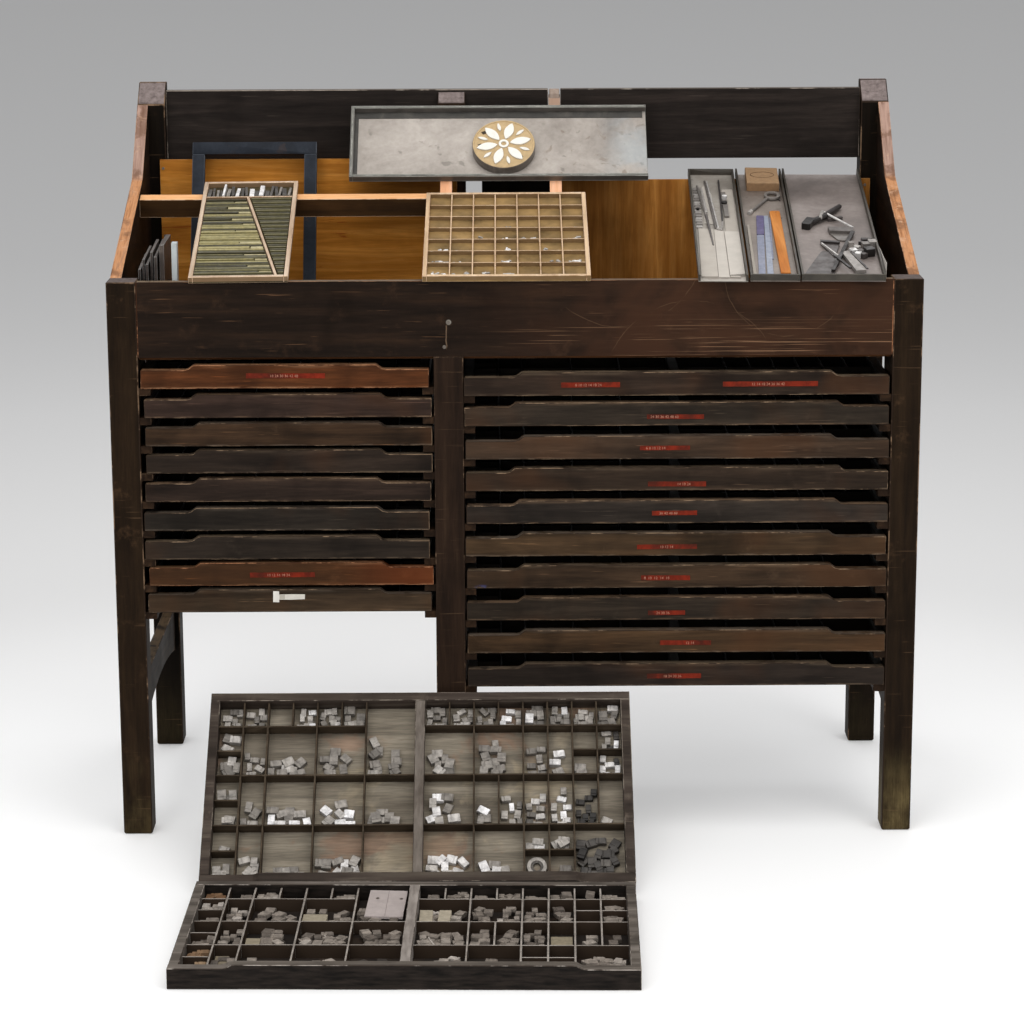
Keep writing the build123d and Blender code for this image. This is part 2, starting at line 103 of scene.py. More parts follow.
# ------------------------------------------------------------------ mesh building
class Build:
    def __init__(self):
        self.v, self.f, self.m, self.t = [], [], [], []

    def add(self, verts, faces, mat=0, tone=0.5):
        b = len(self.v)
        self.v += [tuple(p) for p in verts]
        self.f += [tuple(b + i for i in f) for f in faces]
        self.m += [mat] * len(faces)
        self.t += [tone] * len(verts)

    def prism(self, fr, poly, h0, h1, mat=0, tone=0.5):
        n = len(poly)
        area = sum(poly[i][0] * poly[(i + 1) % n][1] - poly[(i + 1) % n][0] * poly[i][1] for i in range(n))
        if area < 0:
            poly = poly[::-1]
        vs = [fr.p(x, y, h0) for x, y in poly] + [fr.p(x, y, h1) for x, y in poly]
        fs = [tuple(range(n - 1, -1, -1)), tuple(range(n, 2 * n))]
        fs += [(i, (i + 1) % n, n + (i + 1) % n, n + i) for i in range(n)]
        self.add(vs, fs, mat, tone)

    def box(self, fr, x0, x1, y0, y1, h0, h1, mat=0, tone=0.5):
        self.prism(fr, [(x0, y0), (x1, y0), (x1, y1), (x0, y1)], h0, h1, mat, tone)

    def ring(self, fr, cx, cy, r0, r1, h0, h1, n=36, mat=0, tone=0.5, squash=1.0):
        vs, fs = [], []
        for i in range(n):
            a = 2 * math.pi * i / n
            c, s = math.cos(a), math.sin(a) * squash
            for r, h in ((r0, h0), (r1, h0), (r1, h1), (r0, h1)):
                vs.append(fr.p(cx + r * c, cy + r * s, h))
        for i in range(n):
            j = (i + 1) % n
            for k in range(4):
                l = (k + 1) % 4
                fs.append((4 * i + k, 4 * j + k, 4 * j + l, 4 * i + l))
        self.add(vs, fs, mat, tone)

    def disc(self, fr, cx, cy, r, h0, h1, n=32, mat=0, tone=0.5):
        self.prism(fr, [(cx + r * math.cos(2 * math.pi * i / n), cy + r * math.sin(2 * math.pi * i / n))
                        for i in range(n)], h0, h1, mat, tone)

    def make(self, name, body, mats, slot=None, bevel=0.4, seg=1, angle=35):
        me = bpy.data.meshes.new(name)
        me.from_pydata(self.v, [], self.f)
        me.validate()
        for m in mats:
            me.materials.append(m)
        if len(me.polygons) == len(self.m):
            me.polygons.foreach_set("material_index", self.m)
        a = me.attributes.new("tone", "FLOAT", "POINT")
        if len(me.vertices) == len(self.t):
            a.data.foreach_set("value", self.t)
        me.update()
        ob = bpy.data.objects.new(name, me)
        scene.collection.objects.link(ob)
        if bevel:
            b = ob.modifiers.new("edge", "BEVEL")
            b.width, b.segments, b.limit_method = bevel * MM, seg, "ANGLE"
            b.angle_limit = math.radians(angle)
            b.use_clamp_overlap = True
            b.harden_normals = False
        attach(ob, body)
        return ob


# ------------------------------------------------------------------ node materials
class Mat:
    def __init__(self, name):
        self.mat = bpy.data.materials.new(name)
        self.mat.use_nodes = True
        self.t = self.mat.node_tree
        self.bsdf = self.t.nodes["Principled BSDF"]
        self._c = None

    def n(self, kind, **props):
        x = self.t.nodes.new(kind)
        for k, v in props.items():
            setattr(x, k, v)
        return x

    def put(self, sock, v):
        if isinstance(v, bpy.types.NodeSocket):
            self.t.links.new(v, sock)
        else:
            sock.default_value = v

    def coords(self):
        if self._c is None:
            self._c = self.n("ShaderNodeTexCoord").outputs["Object"]
        return self._c

    def mapped(self, scale=(1, 1, 1), loc=(0, 0, 0), rot=(0, 0, 0), src=None):
        m = self.n("ShaderNodeMapping")
        self.put(m.inputs["Vector"], src or self.coords())
        m.inputs["Location"].default_value = loc
        m.inputs["Rotation"].default_value = [math.radians(a) for a in rot]
        m.inputs["Scale"].default_value = scale
        return m.outputs["Vector"]

    def noise(self, vec, scale=1.0, detail=4.0, rough=0.55, dist=0.0):
        x = self.n("ShaderNodeTexNoise")
        self.put(x.inputs["Vector"], vec)
        x.inputs["Scale"].default_value = scale
        x.inputs["Detail"].default_value = detail
        x.inputs["Roughness"].default_value = rough
        x.inputs["Distortion"].default_value = dist
        return x.outputs["Fac"]

    def voronoi(self, vec, scale=1.0, out="Distance", feature="F1"):
        x = self.n("ShaderNodeTexVoronoi", feature=feature)
        self.put(x.inputs["Vector"], vec)
        x.inputs["Scale"].default_value = scale
        return x.outputs[out]

    def ramp(self, fac, stops, interp="LINEAR"):
        x = self.n("ShaderNodeValToRGB")
        x.color_ramp.interpolation = interp
        e = x.color_ramp.elements
        while len(e) < len(stops):
            e.new(0.5)
        for i, (p, c) in enumerate(stops):
            e[i].position = p
            e[i].color = c if len(c) == 4 else (*c, 1)
        self.put(x.inputs["Fac"], fac)
        return x.outputs["Color"]

    def mask(self, v, lo, hi, a=0.0, b=1.0, smooth=True):
        x = self.n("ShaderNodeMapRange")
        if smooth:
            x.interpolation_type = "SMOOTHSTEP"
        self.put(x.inputs["Value"], v)
        if lo > hi:
            lo, hi, a, b = hi, lo, b, a
        x.inputs["From Min"].default_value = lo
        x.inputs["From Max"].default_value = hi
        x.inputs["To Min"].default_value = a
        x.inputs["To Max"].default_value = b
        return x.outputs["Result"]

    def math(self, op, a, b=0.0, clamp=False):
        x = self.n("ShaderNodeMath", operation=op, use_clamp=clamp)
        self.put(x.inputs[0], a)
        self.put(x.inputs[1], b)
        return x.outputs[0]

    def mul(self, *a):
        r = a[0]
        for b in a[1:]:
            r = self.math("MULTIPLY", r, b)
        return r

    def mx(self, a, b):
        return self.math("MAXIMUM", a, b)

    def mix(self, fac, a, b, blend="MIX"):
        x = self.n("ShaderNodeMix", data_type="RGBA", blend_type=blend)
        x.clamp_factor = True
        self.put(x.inputs[0], fac)
        self.put(x.inputs[6], a)
        self.put(x.inputs[7], b)
        return x.outputs[2]

    def xyz(self):
        x = self.n("ShaderNodeSeparateXYZ")
        self.put(x.inputs[0], self.coords())
        return x.outputs

    def normal(self):
        g = self.n("ShaderNodeNewGeometry")
        x = self.n("ShaderNodeSeparateXYZ")
        self.t.links.new(g.outputs["Normal"], x.inputs[0])
        return x.outputs

    def along(self, fr, axis="n"):
        """Distance in mm from fr's origin along one of its axes."""
        d = getattr(fr, axis)
        x = self.n("ShaderNodeVectorMath", operation="DOT_PRODUCT")
        self.put(x.inputs[0], self.coords())
        x.inputs[1].default_value = d * 1000.0
        return self.math("SUBTRACT", x.outputs["Value"], fr.o.dot(d))

    def attr(self, name="tone"):
        x = self.n("ShaderNodeAttribute", attribute_name=name)
        return x.outputs["Fac"]

    def bump(self, height, strength=0.3, dist=0.4):
        x = self.n("ShaderNodeBump")
        x.inputs["Strength"].default_value = strength
        x.inputs["Distance"].default_value = dist * MM
        self.put(x.inputs["Height"], height)
        self.t.links.new(x.outputs["Normal"], self.bsdf.inputs["Normal"])

    def done(self, color, rough, metallic=None, spec=None):
        self.put(self.bsdf.inputs["Base Color"], color)
        self.put(self.bsdf.inputs["Roughness"], rough)
        if metallic is not None:
            self.bsdf.inputs["Metallic"].default_value = metallic
        if spec is not None:
            self.bsdf.inputs["Specular IOR Level"].default_value = spec
        return self.mat


AX = {"x": (1, 1, 1), "y": (0, 0, 90), "z": (0, 90, 0)}


def grain_vec(m, axis, seed, tilt=0.0, wide=1.0):
    """Object coordinates stretched along the grain, which runs along x, y or z (tilted about x)."""
    long, across = 1.0, 14.0 * wide
    s = {"x": (long, across, across), "y": (across, long, across), "z": (across, across, long)}[axis]
    src = m.mapped(rot=(-tilt, 0, 0)) if tilt else m.coords()
    return m.mapped(scale=s, loc=(seed * 1.37, seed * 2.11, seed * 0.73), src=src)


def wood(name, c0, c1, c2, axis="x", seed=0.0, tilt=0.0, rough=(0.42, 0.68), fibre=0.5, bump=0.35,
         scratch=0.0, scratch_c=(140, 105, 80), wear=0.0, wear_c=(120, 90, 65), dark=0.35, extra=None,
         spec=0.05, wide=1.0, knots=0.0):
    """Varnished or bare wood: streaks along the grain, fine fibres, darker blotches, scratches and worn spots."""
    m = Mat(name)
    v = grain_vec(m, axis, seed, tilt, wide)
    streak = m.noise(v, 3.0, 5.0, 0.6, 0.6)
    fine = m.noise(v, 22.0, 4.0, 0.7, 0.1)
    plain = m.mapped(loc=(seed * 3.1, seed * 1.7, seed * 2.3))
    blotch = m.noise(plain, 7.0, 3.0, 0.6, 0.4)
    col = m.ramp(streak, [(0.28, lin(*c0)), (0.5, lin(*c1)), (0.74, lin(*c2))])
    shade = m.mask(fine, 0.3, 0.72, 1.0 - 0.5 * fibre, 1.0 + 0.35 * fibre, smooth=False)
    sh = m.n("ShaderNodeVectorMath", operation="SCALE")
    m.put(sh.inputs[0], col)
    m.put(sh.inputs["Scale"], shade)
    col = sh.outputs[0]
    col = m.mix(m.mask(blotch, 0.45, 0.7, 0.0, dark), col, lin(c0[0] * 0.5, c0[1] * 0.5, c0[2] * 0.5))
    height = fine
    if knots:
        w = m.n("ShaderNodeTexWave", wave_type="BANDS", bands_direction="DIAGONAL")
        m.put(w.inputs["Vector"], v)
        w.inputs["Scale"].default_value = 0.7
        w.inputs["Distortion"].default_value = 9.0
        w.inputs["Detail"].default_value = 3.0
        w.inputs["Detail Scale"].default_value = 0.8
        col = m.mix(m.mul(w.outputs["Fac"], knots), col, lin(*c0))
    if scratch:
        for k, (ry, rz, rx) in enumerate(((58, 20, 64), (-27, 70, -30), (12, -35, 15))):
            q = m.mapped(scale=(1.6, 75, 75), rot=(rx + seed * 9, ry, rz), loc=(seed + k * 5.3, k * 2.7, seed))
            s = m.noise(q, 3.2 + k, 2.0, 0.5)
            on = m.mask(m.noise(plain, 11.0 + 3 * k, 2.0), 0.48, 0.62)
            f = m.mul(m.mask(s, 0.695, 0.73), on, scratch)
            col = m.mix(f, col, lin(*scratch_c))
    if wear:
        w = m.mul(m.mask(m.noise(plain, 19.0, 6.0, 0.7), 0.56, 0.72), m.mask(m.noise(plain, 3.0, 2.0), 0.42, 0.6), wear)
        col = m.mix(w, col, lin(*wear_c))
    if extra:
        col = extra(m, col, fine, blotch)
    r = m.mask(m.math("ADD", blotch, m.mul(fine, 0.5)), 0.5, 1.05, rough[0], rough[1], smooth=False)
    m.bump(height, bump, 0.35)
    return m.done(col, r, spec=spec)


def worn(name, c0, c1, seed=0.0, dark=(42, 30, 22), share=0.5, rough=0.65, front=None):
    """Rubbed arris: the varnish is gone in patches. With front given, the arris behind the front is painted near-black
    as shade.
    """
    m = Mat(name)
    p = m.mapped(loc=(seed, seed * 2, seed * 3))
    a = m.noise(p, 45.0, 5.0, 0.7)
    b = m.noise(p, 6.0, 3.0, 0.6)
    base = m.mix(m.mask(a, 0.35, 0.65), lin(*c0), lin(*c1))
    on = m.mask(m.math("ADD", m.mul(a, 0.5), m.mul(b, 0.8)), 0.62 + 0.25 * (0.5 - share), 0.72 + 0.25 * (0.5 - share))
    col = m.mix(on, lin(*dark), base)
    # arrises behind the front are painted near-black: painted shade inside the case
    if front:
        y = m.xyz()[1]
        col = m.mix(m.mask(y, (Y0 + front) * MM, (Y0 + front + 2) * MM), col, lin(15, 12, 10))
    m.bump(a, 0.3, 0.3)
    return m.done(col, rough, spec=0.08)


def dress(node, mats, bevel=1.2, seg=2, edge_slot=True, angle=38):
    """Materials, and softened arrises that show a second, worn material, on a carried-over node."""
    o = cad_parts[node]
    while len(o.data.materials) < len(mats):
        o.data.materials.append(mats[len(o.data.materials)])
    for i, mt in enumerate(mats):
        o.data.materials[i] = mt
        o.material_slots[i].material = mt
    w = o.modifiers.new("join", "WELD")
    w.merge_threshold = 0.00002
    if bevel:
        b = o.modifiers.new("arris", "BEVEL")
        b.width, b.segments, b.limit_method = bevel * MM, seg, "ANGLE"
        b.angle_limit = math.radians(angle)
        b.use_clamp_overlap = True
        b.harden_normals = True
        if edge_slot and len(mats) > 1:
            b.material = 1
    return o


# ------------------------------------------------------------------ frame timber
def up_face(colour, noise_lo=0.3, noise_hi=0.5, limit=0.5):
    """Faces that look up are rubbed bare to colour."""
    def f(m, col, fine, blotch):
        up = m.mask(m.normal()[2], limit, limit + 0.15)
        on = m.mask(m.noise(m.mapped(), 30.0, 5.0, 0.65), noise_lo, noise_hi)
        return m.mix(m.mul(up, on), col, m.ramp(fine, [(0.3, lin(*[c * 0.7 for c in colour])), (0.7, lin(*colour))]))
    return f


def leg_extra(foot=True, cap=None):
    def f(m, col, fine, blotch):
        z = m.xyz()[2]
        if foot:
            low = m.mul(m.mask(z, 0.2, 0.02), m.mask(m.noise(m.mapped(scale=(1, 1, 0.5)), 12.0, 5.0, 0.7), 0.3, 0.7))
            col = m.mix(m.mul(low, foot), col, m.ramp(fine, [(0.3, lin(78, 66, 40)), (0.7, lin(112, 98, 66))]))
        if cap:
            up = m.mul(m.mask(m.normal()[2], 0.35, 0.5), m.mask(z, cap, cap + 0.01))
            tone = m.ramp(m.noise(m.mapped(), 90.0, 5.0, 0.7), [(0.3, lin(90, 80, 78)), (0.7, lin(136, 124, 121))])
            col = m.mix(up, col, tone)
        return col
    return f


DARK = dict(rough=(0.5, 0.72), bump=0.4, spec=0.045)
ARRIS = worn("arris_dark", (84, 66, 50), (116, 94, 74), 0.3, (40, 29, 21), 0.3)
ARRIS_CASE = worn("arris_case", (88, 72, 56), (122, 102, 82), 10.3, (44, 34, 26), 0.42, front=19)
ARRIS_RED = worn("arris_red", (116, 74, 48), (150, 106, 76), 1.3, (58, 34, 20), 0.5, front=19)
ARRIS_LIGHT = worn("arris_light", (190, 158, 128), (214, 186, 158), 2.3, (140, 104, 74), 0.9)

# the back legs take darker copies of the leg timber (0.4 and 0.45 against 0.78 and 0.72): painted shade
for i, (n, c) in enumerate((("leg_front_left", 0.78), ("leg_front_right", 0.72), ("leg_back_left", 0.4), ("leg_back_right", 0.45))):
    m = wood("timber_" + n, (30 * c, 21 * c, 13 * c), (44 * c, 31 * c, 19 * c), (60 * c, 44 * c, 28 * c), "z", i + 0.4,
             scratch=0.35, scratch_c=(112, 86, 64), wear=0.3, wear_c=(92, 68, 48),
             extra=leg_extra((0.4, 0.85, 0.12, 0.1)[i], 1.39 if "back" in n else 1.105), **DARK)
    dress(n, [m, ARRIS], 2.2, 3)
for i, n in enumerate(("post_front_centre", "post_back_centre")):
    m = wood("timber_" + n, (28, 20, 15), (42, 30, 22), (56, 42, 31), "z", i + 5.4, scratch=0.3, scratch_c=(104, 82, 62),
             extra=leg_extra(0.2, 1.39), **DARK)
    dress(n, [m, ARRIS], 1.6, 2)


def apron_extra(m, col, fine, blotch):
    col = up_face((122, 104, 84), 0.25, 0.5)(m, col, fine, blotch)
    x, y, z = m.xyz()
    # a redder, more rubbed right half
    col = m.mix(m.mul(m.mask(x, -0.15, 0.3), m.mask(blotch, 0.25, 0.65), 0.42), col, lin(80, 52, 36))
    # pale scuffs: a nail mark with a streak below it, and a few curved scratches on the right
    dx, dz = m.math('SUBTRACT', x, -0.1275), m.math('SUBTRACT', z, 1.030)
    dot = m.mask(m.math('SQRT', m.math('ADD', m.mul(dx, dx), m.mul(dz, dz))), 0.006, 0.0035)
    wob = m.mul(m.math('SUBTRACT', m.noise(m.mapped(), 40.0, 2.0), 0.5), 0.006)
    line = m.mul(m.mask(m.math('ABSOLUTE', m.math('ADD', dx, m.math('ADD', wob, 0.005))), 0.0016, 0.0006), m.mask(z, 1.026, 1.022), m.mask(z, 0.975, 0.985))
    col = m.mix(m.mul(dot, 0.8), col, lin(150, 144, 134))
    col = m.mix(m.mul(line, 0.45), col, lin(126, 104, 84))
    for k, (cx, cz, rr) in enumerate(((0.20, 1.18, 0.16), (0.34, 0.90, 0.17), (0.52, 1.12, 0.12))):
        ex, ez = m.math('SUBTRACT', x, cx), m.math('SUBTRACT', z, cz)
        rad = m.math('SUBTRACT', m.math('SQRT', m.math('ADD', m.mul(ex, ex), m.mul(ez, ez))), rr)
        arc = m.mul(m.mask(m.math('ABSOLUTE', m.math('ADD', rad, wob)), 0.0009, 0.0003), m.mask(m.noise(m.mapped(loc=(k, 0, 0)), 16.0, 3.0), 0.42, 0.6))
        col = m.mix(m.mul(arc, 0.22), col, lin(126, 98, 74))
    # long fine horizontal rubs near the lower edge
    q = m.mapped(scale=(1.2, 120, 120), rot=(0, 1.2, 0))
    rub = m.mul(m.mask(m.noise(q, 3.0, 3.0, 0.6), 0.60, 0.66), m.mask(x, -0.1, 0.15), m.mask(z, 1.05, 0.99))
    col = m.mix(m.mul(rub, 0.6), col, lin(136, 104, 78))
    return col


apron = wood("timber_apron", (22, 16, 12), (33, 24, 18), (47, 33, 23), "x", 2.2, scratch=0.4, scratch_c=(118, 86, 62),
             wear=0.16, wear_c=(92, 66, 48), extra=apron_extra, **DARK)
dress("front_apron", [apron, ARRIS_RED], 1.8, 2)


def side_extra(m, col, fine, blotch):
    x, y, z = m.xyz()
    up = m.mask(m.normal()[2], 0.5, 0.7)
    low = m.ramp(m.noise(m.mapped(scale=(60, 4, 4)), 3.0, 5.0, 0.6), [(0.3, lin(128, 84, 52)), (0.52, lin(184, 132, 92)), (0.62, lin(158, 116, 86)), (0.75, lin(132, 96, 72))])
    high = m.ramp(m.noise(m.mapped(scale=(60, 4, 4)), 3.0, 5.0, 0.6), [(0.3, lin(132, 104, 90)), (0.6, lin(172, 142, 128))])
    edge = m.mix(m.mask(y, (438 + Y0 - 12) * MM, (438 + Y0 + 12) * MM), low, high)
    edge = m.mix(m.mask(m.noise(m.mapped(), 17.0, 5.0, 0.65), 0.5, 0.62, 0.0, 0.62), edge, lin(98, 68, 50))
    edge = m.mix(m.mask(m.noise(m.mapped(loc=(3, 0, 0)), 60.0, 4.0, 0.6), 0.58, 0.7, 0.0, 0.45), edge, lin(200, 166, 138))
    return m.mix(up, col, edge)


ARRIS_SIDE = worn("arris_side", (150, 108, 78), (188, 150, 122), 4.1, (88, 60, 42), 0.6)
for i, n in enumerate(("side_board_left", "side_board_right")):
    m = wood("timber_" + n, (24, 18, 14), (36, 26, 20), (52, 38, 28), "y", i + 8.1, scratch=0.4, scratch_c=(110, 84, 62),
             extra=side_extra, **DARK)
    dress(n, [m, ARRIS_SIDE], 1.2, 2)

bb = wood("timber_back_board", (26, 22, 20), (37, 32, 29), (50, 43, 39), "x", 3.3, scratch=0.3, scratch_c=(92, 82, 74),
          extra=up_face((96, 88, 80), 0.2, 0.45), **DARK)
dress("back_board_upper", [bb, worn("arris_grey", (112, 102, 92), (140, 130, 120), 5.0, (56, 48, 42), 0.6)], 1.6, 2)


def ply_extra(left):
    def f(m, col, fine, blotch):
        x, y, z = m.xyz()
        if left:
            # reddish resin streaks, and the long tray's shadow painted on the panel as a darker band under it
            q = m.mapped(scale=(2.2, 30, 30), loc=(1.1, 0, 0.4))
            red = m.mul(m.mask(m.noise(q, 2.0, 5.0, 0.65, 1.2), 0.60, 0.68), 0.75)
            col = m.mix(red, col, lin(136, 60, 20))
            col = m.mix(m.mul(m.mask(x, -0.36, -0.30), m.mask(z, 1.14, 1.2), 0.5), col, lin(44, 27, 12))
        else:
            # painted shadow of the long tray: the panel is darker left of the tray's right end
            col = m.mix(m.mul(m.mask(x, 0.30, 0.24), 0.35), col, lin(52, 33, 15))
        return col
    return f


pl = wood("ply_left", (150, 92, 32), (194, 126, 48), (232, 164, 80), "x", 1.9, rough=(0.5, 0.7), fibre=0.35, bump=0.2, dark=0.2,
          extra=ply_extra(True), knots=0.35)
pr = wood("ply_right", (134, 82, 32), (174, 114, 50), (206, 146, 76), "z", 6.9, rough=(0.5, 0.7), fibre=0.4, bump=0.2, dark=0.25,
          extra=ply_extra(False), knots=0.3)
ply_edge = worn("ply_edge", (168, 124, 76), (196, 152, 104), 3.7, (104, 66, 34), 0.8)
dress("back_panel_left", [pl, ply_edge], 0.6, 1)
dress("back_panel_right", [pr, ply_edge], 0.6, 1)
dress("back_plank_centre", [wood("plank_dark", (8, 6, 4), (15, 12, 8), (24, 18, 12), "z", 4.4, scratch=0.2, **DARK), ARRIS], 1.2, 2)
dress("bin_floor", [wood("bin_floor_wood", (58, 34, 18), (78, 48, 26), (100, 66, 40), "x", 7.7, scratch=0.3, **DARK), ARRIS], 0.8, 1)


def rail_extra(m, col, fine, blotch):
    up = m.mask(m.normal()[2], 0.5, 0.75)
    tan = m.ramp(fine, [(0.3, lin(206, 148, 96)), (0.7, lin(232, 182, 134))])
    return m.mix(up, col, tan)


dress("case_rail", [wood("rail_wood", (38, 24, 12), (52, 34, 16), (70, 46, 24), "x", 9.2, extra=rail_extra, **DARK), ARRIS_LIGHT], 0.8, 2)


def bearer_extra(m, col, fine, blotch):
    side = m.mask(m.math("ABSOLUTE", m.normal()[0]), 0.5, 0.8)
    col = m.mix(m.mul(side, 0.7), col, lin(112, 66, 40))
    return m.mix(m.mul(m.mask(m.xyz()[2], 1.34, 1.36), 0.85), col, lin(136, 118, 105))


for i, n in enumerate(("bearer_left", "bearer_right")):
    dress(n, [wood("pine_" + n, (196, 132, 92), (222, 166, 128), (236, 190, 158), "y", i + 2.6, tilt=STRUT_T, rough=(0.55, 0.75),
                   fibre=0.25, bump=0.25, dark=0.1, extra=bearer_extra), ARRIS_LIGHT], 0.9, 2)
for i, n in enumerate(("side_stretcher_left", "side_stretcher_right")):
    dress(n, [wood("timber_" + n, (22, 17, 13), (36, 28, 21), (58, 46, 33), "y", i + 12.5, scratch=0.3, extra=up_face((96, 78, 58)), **DARK), ARRIS], 1.5, 2)
run = wood("runner_wood", (24, 16, 11), (40, 28, 19), (64, 46, 32), "y", 15.5, rough=(0.5, 0.75), fibre=0.4, scratch=0.3, scratch_c=(112, 84, 60), wear=0.4, wear_c=(92, 68, 48))
for n in ("runners_left_bay", "runners_right_bay"):
    dress(n, [run, ARRIS], 0.6, 1)


def metal(name, c0, c1, c2, seed=0.0, rough=(0.35, 0.6), metallic=0.6, scale=14.0, bump=0.15, spots=0.0, spot_c=(60, 58, 55),
          extra=None, tone=0.0, spec=None):
    m = Mat(name)
    p = m.mapped(loc=(seed, seed * 1.3, seed * 2.7))
    a = m.noise(p, scale, 6.0, 0.6, 0.5)
    b = m.noise(p, scale * 14, 4.0, 0.6)
    col = m.ramp(m.math("ADD", m.mul(a, 0.8), m.mul(b, 0.2)), [(0.3, lin(*c0)), (0.5, lin(*c1)), (0.7, lin(*c2))])
    if spots:
        col = m.mix(m.mul(m.mask(m.noise(p, scale * 4, 3.0, 0.5, 0.3), 0.64, 0.7), spots), col, lin(*spot_c))
    if tone:
        k = m.n("ShaderNodeVectorMath", operation="SCALE")
        m.put(k.inputs[0], col)
        m.put(k.inputs["Scale"], m.mask(m.attr(), 0.0, 1.0, 1.0 - tone, 1.0 + tone, smooth=False))
        col = k.outputs[0]
    if extra:
        col = extra(m, col, b, a)
    m.bump(b, bump, 0.2)
    return m.done(col, m.mask(a, 0.3, 0.7, rough[0], rough[1], smooth=False), metallic=metallic, spec=spec)


dress("nails", [metal("nail_steel", (70, 62, 56), (120, 112, 104), (170, 164, 156), 1.1)], 0.5, 2)


# ------------------------------------------------------------------ the sliding cases
LEFT_Z = [903.0, 845.0, 789.0, 735.0, 679.0, 620.5, 563.5, 511.0, 457.0]
LEFT_DX = [-2.5, 2.5, 3.0, 3.0, 0.0, -4.0, -4.0, 3.0, -1.0]
LEFT_DY = [-3.0, -1.0, 0.0, 1.5, -1.0, 0.5, -1.5, -3.0, -2.0]
RIGHT_Z = [885.5, 826.0, 760.5, 697.0, 632.0, 567.5, 502.5, 437.0, 371.0, 302.0]
RIGHT_DX = [-2.0, -1.5, 0.0, 0.0, 1.0, -1.5, 1.0, 0.5, 1.5, 1.5]
RIGHT_DY = [-2.0, -1.0, -3.0, 0.0, -1.0, -3.5, -2.0, -0.5, -2.5, 0.0]
L_COL = [(80, 46, 25), (50, 38, 32), (60, 44, 31), (42, 34, 28), (45, 35, 29), (38, 33, 28), (43, 36, 30), (72, 45, 26), (58, 46, 34)]
R_COL = [(46, 36, 29), (47, 40, 33), (62, 48, 37), (48, 38, 30), (45, 39, 34), (64, 49, 34), (58, 44, 32), (43, 36, 29), (62, 46, 31), (42, 35, 30)]


def case_extra(z0, dy, tones, light):
    """Inside behind the front painted near-black as shade, rubbed bands along the front's top and bottom, hand-worn
    ends.
    """
    def f(m, col, fine, blotch):
        x, y, z = m.xyz()
        zz = m.math("SUBTRACT", m.mul(z, 1000.0), z0)
        n1 = m.noise(m.mapped(scale=(9, 9, 40)), 3.0, 5.0, 0.65)
        low = m.mul(m.mask(zz, 5.0, 1.5), m.mask(n1, 0.42, 0.62), 0.7)
        top = m.mul(m.mask(zz, 38.0, 44.0), m.mask(m.noise(m.mapped(scale=(5, 9, 30)), 2.2, 4.0, 0.6), 0.42, 0.66), 0.6)
        col = m.mix(m.mul(m.mx(low, m.mul(top, 0.7)), light), col, lin(*tones))
        up = m.mul(m.mask(m.normal()[2], 0.6, 0.85), m.mask(m.noise(m.mapped(), 26.0, 5.0, 0.6), 0.32, 0.55))
        col = m.mix(m.mul(up, 0.75), col, lin(tones[0] * 0.9, tones[1] * 0.9, tones[2] * 0.9))
        # everything more than 20 mm behind the front is painted near-black: painted shade inside the case and in the
        # gaps between cases
        inside = m.mask(y, (Y0 + dy + 19.8) * MM, (Y0 + dy + 20.2) * MM)
        warm = m.mul(m.mask(m.noise(m.mapped(loc=(z0 * 0.01, 0, z0 * 0.02)), 3.2, 3.0, 0.6), 0.5, 0.68), 0.4)
        col = m.mix(m.mul(warm, m.math('SUBTRACT', 1.0, up)), col, lin(78, 50, 30))
        if z0 == 511.0:
            col = m.mix(m.mul(m.mask(x, -0.3, -0.45), 0.5), col, lin(48, 34, 22))
            col = m.mix(m.mul(m.mask(x, -0.36, -0.2), 0.4), col, lin(112, 54, 26))
        if z0 == 502.5:
            chip = m.mul(m.mask(x, -0.055, -0.062), m.mask(x, -0.083, -0.077), m.mask(zz, 9.0, 5.0), m.mask(m.noise(m.mapped(), 60.0), 0.45, 0.55), m.mask(m.normal()[1], -0.5, -0.8))
            col = m.mix(m.mul(chip, 0.6), col, lin(62, 66, 104))
        return m.mix(inside, col, m.ramp(fine, [(0.3, lin(17, 14, 11)), (0.7, lin(30, 25, 20))]))
    return f


case_mats = {}
for side, zs, dys, cols in (("left", LEFT_Z, LEFT_DY, L_COL), ("right", RIGHT_Z, RIGHT_DY, R_COL)):
    for i, (z0, dy, c) in enumerate(zip(zs, dys, cols)):
        red = side == "left" and i in (0, 7)
        tones = (150, 112, 82) if red else [(112, 96, 78), (124, 100, 78), (104, 92, 80)][i % 3]
        m = wood("front_%s_%d" % (side, i + 1), [v * 0.66 for v in c], [v * 0.97 for v in c], [v * 1.3 for v in c], "x",
                 i * 1.71 + (20 if side == "right" else 0), rough=(0.4, 0.62), fibre=0.45, bump=0.35,
                 scratch=0.4, scratch_c=[min(255, v * 2.2) for v in c], wear=0.2, wear_c=[min(255, v * 1.5 + 10) for v in c],
                 dark=0.45, extra=case_extra(z0, dy, tones, 0.85 if red else 0.6))
        case_mats[side, i] = m
        dress("case_%s_%d" % (side, i + 1), [m, ARRIS_RED if red else ARRIS_CASE], 1.3, 2)


# ------------------------------------------------------------------ the two cases in front
def dust(m, col, fine, blotch):
    n = m.noise(m.mapped(), 9.0, 5.0, 0.6)
    return m.mix(m.mask(n, 0.42, 0.66, 0.0, 0.45), col, lin(126, 114, 96))


def mid_bar(m, col, fine, fr, x0, x1, c0, c1):
    """The middle bar between the two halves is rubbed paler than the rims."""
    x, y = m.along(fr, "x"), m.along(fr, "y")
    on = m.mul(m.mask(x, x0 - 1, x0), m.mask(x, x1 + 1, x1), m.mask(y, 19, 21), m.mask(y, 405, 403))
    return m.mix(m.mul(on, 0.85), col, m.ramp(m.noise(m.mapped(scale=(30, 5, 8)), 3.0, 4.0, 0.6), [(0.3, lin(*c0)), (0.7, lin(*c1))]))


